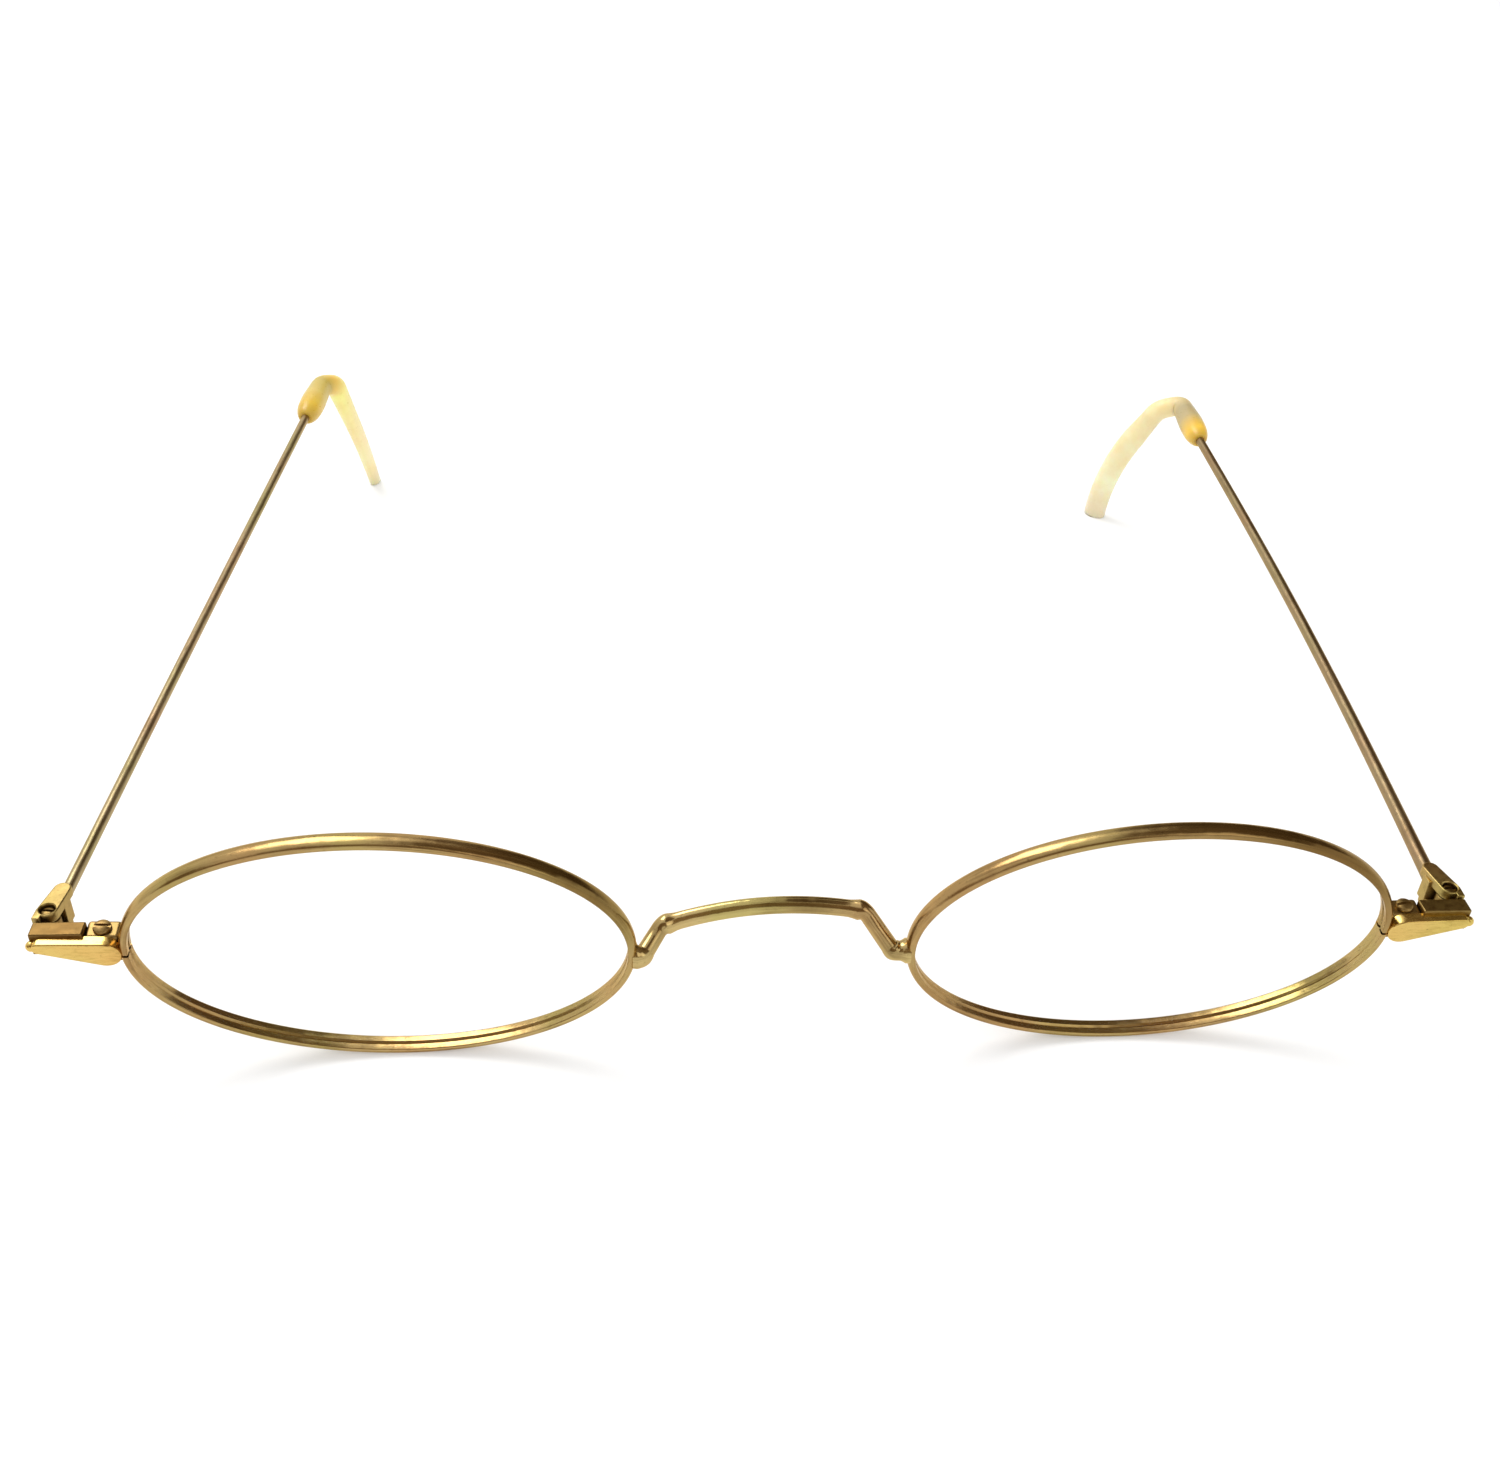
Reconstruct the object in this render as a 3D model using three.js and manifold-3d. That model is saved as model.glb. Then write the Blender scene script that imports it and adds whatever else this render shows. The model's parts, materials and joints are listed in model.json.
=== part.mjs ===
// Oval wire-rimmed spectacles: two split eyewires that hold lenses, a saddle bridge, screwed rim
// locks, leaf-shaped end pieces, and wire temples with plastic tips that fold on screwed hinges.
// Millimetres, +Z up. The front faces -Y and the temples run back along +Y. Left and right are the
// wearer's, so the left half is on +X. The origin lies on the surface that the spectacles stand on,
// under the middle of their outer box.

import * as THREE from "three";
import { mergeVertices } from "three/addons/utils/BufferGeometryUtils.js";
import Module from "manifold-3d";

// Lens and eyewire
const LENS_WIDTH = 44.95;
const LENS_HEIGHT = 29.75;
const LENS_THICKNESS = 1.6;
const LENS_CROWN = 0.5;
const LENS_CLEARANCE = 0.1;
const RIM_THICKNESS = 0.8;
const RIM_DEPTH = 1.7;
const RIM_EDGE = 0.15;
const GROOVE_DEPTH = 0.4;
const GROOVE_WIDTH = 0.6;
const RIM_SPLIT = 0.3;

// Stance of the front: gap between the eyewires, lift of their outer ends, forward lean of the top
const RIM_GAP = 25.05;
const UPSWEEP_DEG = 2;
const LEAN_DEG = 8;

// Saddle bridge: a bent wire, flattened where it rests on the nose
const BRIDGE_WIRE = 1.4;
const LEFT_BRIDGE_STUB = 1.175;
const RIGHT_BRIDGE_STUB = 0.575;
const BRIDGE_DROP = 0.7;
const BRIDGE_SETBACK = 2.4;
const BRIDGE_RISE = 2.2;
const BRIDGE_BEND = 0.6;
const CREST_SPAN = 18.9;
const CREST_SHIFT = -0.75;
const CREST_TILT = 0.85;
const CREST_ARCH = 1.05;
const CREST_WIDTH = 1.65;
const CREST_THICKNESS = 1.2;

// Rim lock: two blocks on the ends of the eyewire, drawn together by a screw
const LOCK_LENGTH = 2.875;
const LOCK_DEPTH = 2;
const LOCK_HEIGHT = 1.6;
const LOCK_SCREW = 0.8;
const LOCK_HEAD = 1.6;
const LOCK_HEAD_HEIGHT = 0.5;
const LOCK_SCREW_REACH = 1.6;

// End piece: a leaf-shaped front plate on a bar that carries the middle knuckle of the hinge
const PLATE_THICKNESS = 0.95;
const PLATE_PROUD = 0.2;
const PLATE_LAP = 0.325;
const PLATE_LENGTH = 7.6;
const PLATE_HEIGHT = 3;
const PLATE_TIP = 1.3;
const PLATE_LIFT = 0.35;
const PLATE_TIP_LIFT = 1.15;
const PLATE_BEVEL = 0.25;
const NUB_SIZE = 1;
const BAR_DEPTH = 1.7;
const BAR_SINK = 0.3;
const BAR_HEIGHT = 2.4;
const BAR_LIFT = 0.35;
const BAR_OVERHANG = 0.9;

// Temple hinge: a fork of two leaves around the knuckle, with a heel that stops the opening
const HINGE_OUT = 6.575;
const HINGE_LIFT = 0.2;
const HINGE_SCREW = 1;
const HINGE_HEAD = 1.3;
const HINGE_HEAD_HEIGHT = 0.4;
const HINGE_HEAD_SINK = 0.25;
const HINGE_TAIL = 0.35;
const KNUCKLE_WALL = 0.25;
const KNUCKLE_HEIGHT = 1.4;
const ARM_WIDTH = 1.1;
const LEAF_THICKNESS = 1;
const LEAF_LENGTH = 2.8;
const LEAF_END = 1.6;
const WEB_LENGTH = 1.3;
const WEB_WALL = 0.2;
const HEEL_ROOM = 0.5;
const HEEL_GAP = 0.12;
const HEEL_WIDTH = 0.7;

// Temple wire and tip
const TEMPLE_WIRE = 1.05;
const TEMPLE_RISE_DEG = 2.5;
const WIRE_INSET = 0.2;
const WIRE_NEST = 0.25;
const WIRE_SEAT = 0.5;
const TIP_SOCKET = 7;
const TIP_STRAIGHT = 12.3;
const TIP_BEND = 4.6;
const TIP_WAIST = 0.6;
const TIP_BOW = 1.1;
const TIP_BELL = 3.15;
const TIP_BELL_LENGTH = 4.5;
const TIP_NECK = 2.85;
const TIP_WIDTH = 3.3;
const TIP_THICKNESS = 2.2;
const TIP_FLATTEN = 6;

// As the pair was last adjusted, for each side: how far the temple stands swung in, how far behind
// the hinge the mouth of the tip's sleeve sits, how far in and back from there the tip comes down,
// how far it curves in on the way, and how far its paddle is twisted
const LEFT_SWING_DEG = -1.2;
const RIGHT_SWING_DEG = 5.2;
const LEFT_TIP_MOUTH = 90.5;
const RIGHT_TIP_MOUTH = 94.5;
const LEFT_TIP_INSET = 7.7;
const RIGHT_TIP_INSET = 2.5;
const LEFT_TIP_REACH = 15.9;
const RIGHT_TIP_REACH = 22.5;
const LEFT_TIP_HOLLOW = 2.7;
const RIGHT_TIP_HOLLOW = 0.2;
const LEFT_TIP_TWIST_DEG = -45;
const RIGHT_TIP_TWIST_DEG = -8;

// Fits: soldered joints, running fits, and the gap between hinge faces
const JOINT_GAP = 0.05;
const RUNNING_FIT = 0.05;
const FACE_GAP = 0.08;

// Details that both kinds of screw share
const SLOT_WIDTH = 0.3;
const SLOT_DEPTH = 0.22;
const SCREW_POINT = 0.12;
const HEAD_DOME = 0.15;

// Fineness of the curves
const RIM_STEPS = 64;
const WIRE_SIDES = 12;
const ROUND_SIDES = 20;
const ARC_STEPS = 10;
const BEND_STEPS = 5;
const CREST_STEPS = 12;
const TIP_SIDES = 14;
const LENS_SIDES = 48;
const LENS_RINGS = [0.25, 0.6, 1];

// Worked-out sizes of the front, in the frame of one eyewire with +X towards the temple
const rimHalfWidth = LENS_WIDTH / 2 + LENS_CLEARANCE + RIM_THICKNESS / 2 - GROOVE_DEPTH;
const rimHalfHeight = LENS_HEIGHT / 2 + LENS_CLEARANCE + RIM_THICKNESS / 2 - GROOVE_DEPTH;
const rimOuter = rimHalfWidth + RIM_THICKNESS / 2;
const rimCentre = RIM_GAP / 2 + rimOuter;
const plateFront = -(RIM_DEPTH / 2 + PLATE_PROUD);
const plateBack = plateFront + PLATE_THICKNESS;
const lockFront = plateBack + JOINT_GAP;
const lockBack = lockFront + LOCK_DEPTH;
const lockOuter = rimOuter + LOCK_LENGTH;
const lockScrewX = rimOuter + LOCK_LENGTH / 2;
const lockScrewY = (lockFront + lockBack) / 2;
const lockTop = RIM_SPLIT / 2 + LOCK_HEIGHT;

// Worked-out sizes of the hinge, whose axis is upright
const knuckleRadius = HINGE_HEAD / 2 + RUNNING_FIT + KNUCKLE_WALL;
const barBack = -(knuckleRadius + HEEL_ROOM);
const barFront = barBack - BAR_DEPTH;
const hingePoint = new THREE.Vector3(rimOuter + HINGE_OUT, plateBack - BAR_SINK - barFront, HINGE_LIFT);
const leafBottom = KNUCKLE_HEIGHT / 2 + FACE_GAP;
const leafTop = leafBottom + LEAF_THICKNESS;
const screwSeat = leafTop - HINGE_HEAD_SINK - HINGE_HEAD_HEIGHT;
const webFront = knuckleRadius + 2 * FACE_GAP;
const webBack = webFront + WEB_LENGTH;
const webWidth = TEMPLE_WIRE + 2 * WEB_WALL;

// The temple wire runs straight back from above the hinge axis, rising a little
const wireStart = new THREE.Vector3(-WIRE_INSET, 0, leafBottom + WIRE_NEST - TEMPLE_WIRE / 2);
const acrossHead = new THREE.Vector3(1, 0, 0);
const wireRun = new THREE.Vector3(0, 1, 0).applyAxisAngle(acrossHead, radians(TEMPLE_RISE_DEG));

const gold = { color: 0xcfa64a, roughness: 0.28, metalness: 1 };
const ivory = { color: 0xf1e3b4, roughness: 0.4, metalness: 0 };
const clear = { color: 0xf6f8f4, roughness: 0.05, metalness: 0, transparent: true, opacity: 0.15 };

const wasm = await Module();
wasm.setup();

function radians(degrees) {
  return THREE.MathUtils.degToRad(degrees);
}

// A closed geometry as a solid that can be joined and cut
function solidOf(geometry) {
  const bare = geometry.clone();
  bare.deleteAttribute("normal");
  bare.deleteAttribute("uv");
  const merged = mergeVertices(bare, 1e-5);
  const corners = merged.index.array;
  const triangles = [];
  for (let i = 0; i < corners.length; i += 3) {
    const [a, b, c] = [corners[i], corners[i + 1], corners[i + 2]];
    if (a !== b && b !== c && c !== a) {
      triangles.push(a, b, c);
    }
  }
  return new wasm.Manifold(new wasm.Mesh({
    numProp: 3,
    vertProperties: new Float32Array(merged.attributes.position.array),
    triVerts: new Uint32Array(triangles),
  }));
}

function geometryOf(solid) {
  const mesh = solid.getMesh();
  const geometry = new THREE.BufferGeometry();
  geometry.setAttribute("position", new THREE.BufferAttribute(new Float32Array(mesh.vertProperties), 3));
  geometry.setIndex(new THREE.BufferAttribute(new Uint32Array(mesh.triVerts), 1));
  return geometry;
}

// The first geometry joined with some others and cut by the rest
function carve(base, added, removed) {
  let solid = solidOf(base);
  for (const geometry of added) {
    solid = solid.add(solidOf(geometry));
  }
  for (const geometry of removed) {
    solid = solid.subtract(solidOf(geometry));
  }
  return geometryOf(solid);
}

// The other half of a pair: reflected across X = 0, with its faces turned out again
function mirrored(geometry) {
  const twin = geometry.clone().scale(-1, 1, 1);
  const order = twin.index.array;
  for (let i = 0; i < order.length; i += 3) {
    [order[i], order[i + 1]] = [order[i + 1], order[i]];
  }
  return twin;
}

// A closed skin over sections: each station has an origin and axes u and v, with u x v along the run
function loft(stations, outlines) {
  const sides = outlines[0].length;
  const positions = [];
  const index = [];
  stations.forEach(({ origin, u, v }, k) => {
    for (const p of outlines[k]) {
      positions.push(...origin.clone().addScaledVector(u, p.x).addScaledVector(v, p.y).toArray());
    }
  });
  for (let k = 0; k + 1 < stations.length; k += 1) {
    for (let j = 0; j < sides; j += 1) {
      const near = k * sides + j;
      const next = k * sides + ((j + 1) % sides);
      index.push(near, next, next + sides, near, next + sides, near + sides);
    }
  }
  const last = (stations.length - 1) * sides;
  for (const [a, b, c] of THREE.ShapeUtils.triangulateShape(outlines[0], [])) {
    index.push(a, c, b);
  }
  for (const [a, b, c] of THREE.ShapeUtils.triangulateShape(outlines[outlines.length - 1], [])) {
    index.push(last + a, last + b, last + c);
  }
  const geometry = new THREE.BufferGeometry();
  geometry.setAttribute("position", new THREE.Float32BufferAttribute(positions, 3));
  geometry.setIndex(index);
  return geometry;
}

// An oval outline, half as wide as along and half as high as across
function oval(along, across, sides) {
  return Array.from({ length: sides }, (_, j) => {
    const turn = (2 * Math.PI * j) / sides;
    return new THREE.Vector2(along * Math.cos(turn), across * Math.sin(turn));
  });
}

// Points and directions along straight runs, with each inner corner eased into a parabolic bend
function bentPath(corners) {
  const path = [];
  const add = (point, direction) => {
    if (path.length === 0 || path[path.length - 1].point.distanceTo(point) > 1e-3) {
      path.push({ point, direction: direction.clone().normalize() });
    }
  };
  const first = corners[0].at;
  const last = corners[corners.length - 1].at;
  add(first, corners[1].at.clone().sub(first));
  for (let k = 1; k + 1 < corners.length; k += 1) {
    const { at, ease, steps } = corners[k];
    const inward = at.clone().sub(corners[k - 1].at).normalize();
    const outward = corners[k + 1].at.clone().sub(at).normalize();
    const from = at.clone().addScaledVector(inward, -ease);
    const to = at.clone().addScaledVector(outward, ease);
    const bend = new THREE.QuadraticBezierCurve3(from, at, to);
    for (let i = 0; i <= steps; i += 1) {
      add(bend.getPoint(i / steps), bend.getTangent(i / steps));
    }
  }
  add(last, last.clone().sub(corners[corners.length - 2].at));
  return path;
}

// Section axes along a path, with u kept as near as it can be to one direction
function stationsAlong(path, reference) {
  return path.map(({ point, direction }) => {
    const u = reference.clone().addScaledVector(direction, -reference.dot(direction)).normalize();
    return { origin: point, u, v: direction.clone().cross(u) };
  });
}

// The outline round two circles: a leaf or spoon, in plan
function leafShape(fromX, fromY, fromRadius, toX, toY, toRadius) {
  const heading = Math.atan2(toY - fromY, toX - fromX);
  const spread = Math.acos((fromRadius - toRadius) / Math.hypot(toX - fromX, toY - fromY));
  const shape = new THREE.Shape();
  shape.absarc(fromX, fromY, fromRadius, heading + spread, heading - spread + 2 * Math.PI, false);
  shape.absarc(toX, toY, toRadius, heading - spread, heading + spread, false);
  return shape;
}

// A shape in plan made into a slab between two heights
function slab(shape, bottom, top) {
  const plain = { depth: top - bottom, bevelEnabled: false, curveSegments: ARC_STEPS };
  return new THREE.ExtrudeGeometry(shape, plain).translate(0, 0, bottom);
}

function block(fromX, toX, fromY, toY, fromZ, toZ) {
  const box = new THREE.BoxGeometry(toX - fromX, toY - fromY, toZ - fromZ);
  return box.translate((fromX + toX) / 2, (fromY + toY) / 2, (fromZ + toZ) / 2);
}

function uprightRod(radius, bottom, top, sides) {
  const rod = new THREE.CylinderGeometry(radius, radius, top - bottom, sides);
  return rod.rotateX(Math.PI / 2).translate(0, 0, (bottom + top) / 2);
}

// A slotted screw, head up, with the underside of its head at height 0
function screw(shank, head, headHeight, reach) {
  const profile = [
    [0, -reach],
    [shank / 2 - SCREW_POINT, -reach],
    [shank / 2, SCREW_POINT - reach],
    [shank / 2, 0],
    [head / 2, 0],
    [head / 2, headHeight - HEAD_DOME],
    [head / 2 - HEAD_DOME, headHeight],
    [0, headHeight],
  ].map(([x, y]) => new THREE.Vector2(x, y));
  const body = new THREE.LatheGeometry(profile, ROUND_SIDES).rotateX(Math.PI / 2);
  const slot = block(-head, head, -SLOT_WIDTH / 2, SLOT_WIDTH / 2, headHeight - SLOT_DEPTH, 2 * headHeight);
  return carve(body, [], [slot]);
}

// Eyewire section: rounded outside, with a groove inside for the edge of the lens
function rimSection(grow) {
  const half = RIM_THICKNESS / 2 + grow;
  const deep = RIM_DEPTH / 2 + grow;
  const outline = [];
  for (let i = 0; i <= BEND_STEPS; i += 1) {
    const turn = Math.PI * (i / BEND_STEPS - 0.5);
    outline.push(new THREE.Vector2(half * Math.cos(turn), deep * Math.sin(turn)));
  }
  outline.push(new THREE.Vector2(RIM_EDGE - half, deep));
  outline.push(new THREE.Vector2(-half, deep - RIM_EDGE));
  if (grow === 0) {
    outline.push(new THREE.Vector2(-half, GROOVE_WIDTH / 2));
    outline.push(new THREE.Vector2(GROOVE_DEPTH - half, 0));
    outline.push(new THREE.Vector2(-half, -GROOVE_WIDTH / 2));
  }
  outline.push(new THREE.Vector2(-half, RIM_EDGE - deep));
  outline.push(new THREE.Vector2(RIM_EDGE - half, -deep));
  return outline;
}

// One eyewire, open at the split beside the temple; grown a little, it cuts seats in its neighbours
function eyewire(grow = 0) {
  const start = Math.asin((RIM_SPLIT / 2 - grow) / rimHalfHeight);
  const stations = [];
  for (let k = 0; k <= RIM_STEPS; k += 1) {
    const turn = start + ((2 * Math.PI - 2 * start) * k) / RIM_STEPS;
    const origin = new THREE.Vector3(rimHalfWidth * Math.cos(turn), 0, rimHalfHeight * Math.sin(turn));
    const u = new THREE.Vector3(rimHalfHeight * Math.cos(turn), 0, rimHalfWidth * Math.sin(turn)).normalize();
    stations.push({ origin, u, v: new THREE.Vector3(0, 1, 0) });
  }
  const section = rimSection(grow);
  return loft(stations, stations.map(() => section));
}

// Lens: a slightly crowned oval with a bevelled edge that sits in the groove
function lens() {
  const half = LENS_THICKNESS / 2;
  const reach = (inset) => oval(LENS_WIDTH / 2 - inset, LENS_HEIGHT / 2 - inset, LENS_SIDES);
  const inner = (share) => reach(GROOVE_DEPTH).map((p) => p.multiplyScalar(share));
  const crown = (share) => -LENS_CROWN * (1 - share * share);
  const rings = [];
  for (const share of LENS_RINGS) {
    rings.push({ y: half + crown(share), outline: inner(share) });
  }
  rings.push({ y: GROOVE_WIDTH / 2, outline: reach(GROOVE_DEPTH) });
  rings.push({ y: 0, outline: reach(0) });
  rings.push({ y: -GROOVE_WIDTH / 2, outline: reach(GROOVE_DEPTH) });
  for (const share of LENS_RINGS.toReversed()) {
    rings.push({ y: -half + crown(share), outline: inner(share) });
  }
  const stations = rings.map(({ y }) => ({
    origin: new THREE.Vector3(0, y, 0),
    u: new THREE.Vector3(1, 0, 0),
    v: new THREE.Vector3(0, 0, 1),
  }));
  return loft(stations, rings.map(({ outline }) => outline));
}

// One half of the rim lock, seated on the end of the eyewire and bored for the screw
function lockHalf(sign) {
  const body = block(
    rimHalfWidth + JOINT_GAP,
    lockOuter,
    lockFront,
    lockBack,
    Math.min(sign * RIM_SPLIT / 2, sign * lockTop),
    Math.max(sign * RIM_SPLIT / 2, sign * lockTop),
  );
  const bore = uprightRod(LOCK_SCREW / 2 + RUNNING_FIT, -2 * lockTop, 2 * lockTop, ROUND_SIDES);
  bore.translate(lockScrewX, lockScrewY, 0);
  return carve(body, [], [eyewire(JOINT_GAP), bore]);
}

function lockScrew() {
  const body = screw(LOCK_SCREW, LOCK_HEAD, LOCK_HEAD_HEIGHT, LOCK_HEIGHT + LOCK_SCREW_REACH);
  return body.translate(lockScrewX, lockScrewY, lockTop + JOINT_GAP);
}

// End piece: the plate lies in the plane of the eyewire, and the bar and knuckle stand upright
function endPiece(upright) {
  const bigRadius = PLATE_HEIGHT / 2;
  const tipRadius = PLATE_TIP / 2;
  const bigX = rimOuter - PLATE_LAP + bigRadius;
  const tipX = rimOuter - PLATE_LAP + PLATE_LENGTH - tipRadius;
  const plate = new THREE.ExtrudeGeometry(
    leafShape(bigX, PLATE_LIFT, bigRadius, tipX, PLATE_TIP_LIFT, tipRadius),
    {
      depth: PLATE_THICKNESS - 2 * PLATE_BEVEL,
      bevelThickness: PLATE_BEVEL,
      bevelSize: PLATE_BEVEL,
      bevelOffset: -PLATE_BEVEL,
      bevelSegments: 2,
      curveSegments: ARC_STEPS,
    },
  ).rotateX(Math.PI / 2).translate(0, plateBack - PLATE_BEVEL, 0);
  const nub = new THREE.SphereGeometry(NUB_SIZE / 2, WIRE_SIDES, ARC_STEPS);
  nub.translate(tipX + tipRadius, (plateFront + plateBack) / 2, PLATE_TIP_LIFT);
  const innerEnd = lockOuter + 2 * FACE_GAP - hingePoint.x;
  const bar = block(
    innerEnd,
    BAR_OVERHANG,
    barFront,
    barBack,
    BAR_LIFT - BAR_HEIGHT / 2,
    BAR_LIFT + BAR_HEIGHT / 2,
  );
  const half = KNUCKLE_HEIGHT / 2;
  const arm = block(-ARM_WIDTH / 2, ARM_WIDTH / 2, barBack - BAR_SINK, 0, -half, half);
  const knuckle = uprightRod(knuckleRadius, -half, half, ROUND_SIDES);
  const bore = uprightRod(HINGE_SCREW / 2 + RUNNING_FIT, -2 * half, 2 * half, ROUND_SIDES);
  for (const piece of [bar, arm, knuckle, bore]) {
    piece.applyQuaternion(upright).translate(...hingePoint.toArray());
  }
  return carve(plate, [nub, bar, arm, knuckle], [bore, eyewire(JOINT_GAP)]);
}

// Bridge: feet soldered to the eyewires, legs that run back and up, and a flattened crest
function bridge(halves) {
  const footZ = -rimHalfWidth * Math.sin(radians(UPSWEEP_DEG)) - BRIDGE_DROP;
  const legRun = new THREE.Vector3(0, BRIDGE_SETBACK, BRIDGE_RISE).normalize();
  const crestEnd = (sign) => new THREE.Vector3(
    sign * CREST_SPAN / 2 + CREST_SHIFT,
    BRIDGE_SETBACK,
    footZ + BRIDGE_RISE + sign * CREST_TILT,
  );
  const middle = crestEnd(0).addScaledVector(legRun, 2 * CREST_ARCH);
  const crestEase = crestEnd(1).distanceTo(middle) - BRIDGE_BEND;
  const footEnd = (sign) => new THREE.Vector3(sign * (RIM_GAP / 2 + RIM_THICKNESS / 2), 0, footZ);
  const footBend = (x) => new THREE.Vector3(x, 0, footZ);
  const path = bentPath([
    { at: footEnd(1) },
    { at: footBend(RIM_GAP / 2 - LEFT_BRIDGE_STUB), ease: BRIDGE_BEND, steps: BEND_STEPS },
    { at: crestEnd(1), ease: BRIDGE_BEND, steps: BEND_STEPS },
    { at: middle, ease: crestEase, steps: CREST_STEPS },
    { at: crestEnd(-1), ease: BRIDGE_BEND, steps: BEND_STEPS },
    { at: footBend(RIGHT_BRIDGE_STUB - RIM_GAP / 2), ease: BRIDGE_BEND, steps: BEND_STEPS },
    { at: footEnd(-1) },
  ]);
  const stations = stationsAlong(path, new THREE.Vector3(1, 0, 0).cross(legRun));
  const outlines = path.map(({ point }) => {
    const out = Math.abs(point.x - CREST_SHIFT);
    const wire = THREE.MathUtils.smoothstep(out, CREST_SPAN / 2 - 2 * BRIDGE_BEND, CREST_SPAN / 2);
    const thick = THREE.MathUtils.lerp(CREST_THICKNESS, BRIDGE_WIRE, wire);
    const wide = THREE.MathUtils.lerp(CREST_WIDTH, BRIDGE_WIRE, wire);
    return oval(thick / 2, wide / 2, WIRE_SIDES);
  });
  const seats = halves.map(({ group, sign }) => {
    const seat = sign > 0 ? eyewire(JOINT_GAP) : mirrored(eyewire(JOINT_GAP));
    return seat.applyMatrix4(group.matrix);
  });
  return carve(loft(stations, outlines), [], seats);
}

// Temple hinge: a long upper leaf over the wire, a short lower one, and the web that joins them
function templeHinge() {
  const upperPlan = leafShape(0, 0, knuckleRadius, wireStart.x, LEAF_LENGTH, LEAF_END / 2);
  const upper = slab(upperPlan, leafBottom, leafTop);
  const lowerEnd = webWidth / 2;
  const lowerPlan = leafShape(0, 0, knuckleRadius, wireStart.x, webBack - lowerEnd, lowerEnd);
  const lower = slab(lowerPlan, -leafTop, -leafBottom);
  const lap = LEAF_THICKNESS / 2;
  const web = block(-lowerEnd, lowerEnd, webFront, webBack, -leafBottom - lap, leafBottom + lap);
  web.translate(wireStart.x, 0, 0);
  const heel = block(knuckleRadius - HEEL_WIDTH, knuckleRadius, barBack + HEEL_GAP, 0, leafBottom, leafTop);
  const bore = uprightRod(HINGE_SCREW / 2 + RUNNING_FIT, -2 * leafTop, 2 * leafTop, ROUND_SIDES);
  const headRadius = HINGE_HEAD / 2 + RUNNING_FIT;
  const sink = uprightRod(headRadius, screwSeat, 2 * leafTop, ROUND_SIDES);
  const socket = wireRod(TEMPLE_WIRE / 2 + RUNNING_FIT, webFront + WIRE_SEAT - JOINT_GAP, 2 * LEAF_LENGTH);
  return carve(upper, [lower, web, heel], [bore, sink, socket]);
}

function hingeScrew() {
  const under = screwSeat + JOINT_GAP;
  const body = screw(HINGE_SCREW, HINGE_HEAD, HINGE_HEAD_HEIGHT, under + leafTop + HINGE_TAIL);
  return body.translate(0, 0, under);
}

// A straight rod along the temple wire's line, between two distances from the hinge axis
function wireRod(radius, from, to) {
  const rod = new THREE.CylinderGeometry(radius, radius, to - from, WIRE_SIDES);
  rod.translate(0, (from + to) / 2, 0).rotateX(radians(TEMPLE_RISE_DEG));
  return rod.translate(...wireStart.toArray());
}

function templeWire({ mouth }) {
  return wireRod(TEMPLE_WIRE / 2, webFront + WIRE_SEAT, mouth + TIP_SOCKET);
}

// Tip: a sleeve with a bell mouth, bent down behind the ear into a flat paddle that stands on its end
function templeTip({ mouth, inset, reach, hollow, twist }, standHeight) {
  const along = (distance) => wireStart.clone().addScaledVector(wireRun, mouth + distance);
  const corner = along(TIP_STRAIGHT);
  const foot = new THREE.Vector3(wireStart.x - inset, mouth + reach, -standHeight);
  const waist = corner.clone().lerp(foot, TIP_WAIST);
  waist.y += TIP_BOW;
  waist.x -= hollow;
  const ending = foot.clone().addScaledVector(foot.clone().sub(waist).normalize(), TIP_WIDTH);
  const path = [];
  for (let k = 0; k < BEND_STEPS; k += 1) {
    path.push({ point: along((TIP_BELL_LENGTH * k) / BEND_STEPS), direction: wireRun });
  }
  path.push(...bentPath([
    { at: along(TIP_BELL_LENGTH) },
    { at: corner, ease: TIP_BEND, steps: 2 * BEND_STEPS },
    { at: waist, ease: 2 * TIP_BEND, steps: BEND_STEPS },
    { at: ending },
  ]));
  const stations = stationsAlong(path, new THREE.Vector3(1, 0, 0));
  const outlines = path.map(({ point }) => {
    const distance = point.clone().sub(along(0)).dot(wireRun);
    const swell = Math.sin(Math.PI * THREE.MathUtils.clamp(distance / TIP_BELL_LENGTH, 0, 1));
    const round = TIP_NECK + (TIP_BELL - TIP_NECK) * swell;
    const fall = corner.z - point.z;
    const flat = THREE.MathUtils.smoothstep(fall, 0, TIP_FLATTEN);
    const thick = THREE.MathUtils.lerp(round, TIP_THICKNESS, flat);
    const wide = THREE.MathUtils.lerp(round, TIP_WIDTH, flat);
    const paddle = oval(thick / 2, wide / 2, TIP_SIDES);
    return paddle.map((p) => p.rotateAround(new THREE.Vector2(), radians(twist) * flat));
  });
  const socket = wireRod(TEMPLE_WIRE / 2 + RUNNING_FIT, mouth - TIP_BELL, mouth + TIP_SOCKET + JOINT_GAP);
  const table = block(-standHeight, standHeight, -standHeight, standHeight, -standHeight, 0);
  table.translate(...foot.toArray());
  return carve(loft(stations, outlines), [], [socket, table]);
}

// A named piece, turned over for the right-hand half
function piece(name, geometry, look, sign = 1) {
  const shape = sign > 0 ? geometry : mirrored(geometry);
  const mesh = new THREE.Mesh(shape, new THREE.MeshStandardMaterial(look));
  mesh.name = name;
  return mesh;
}

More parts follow.
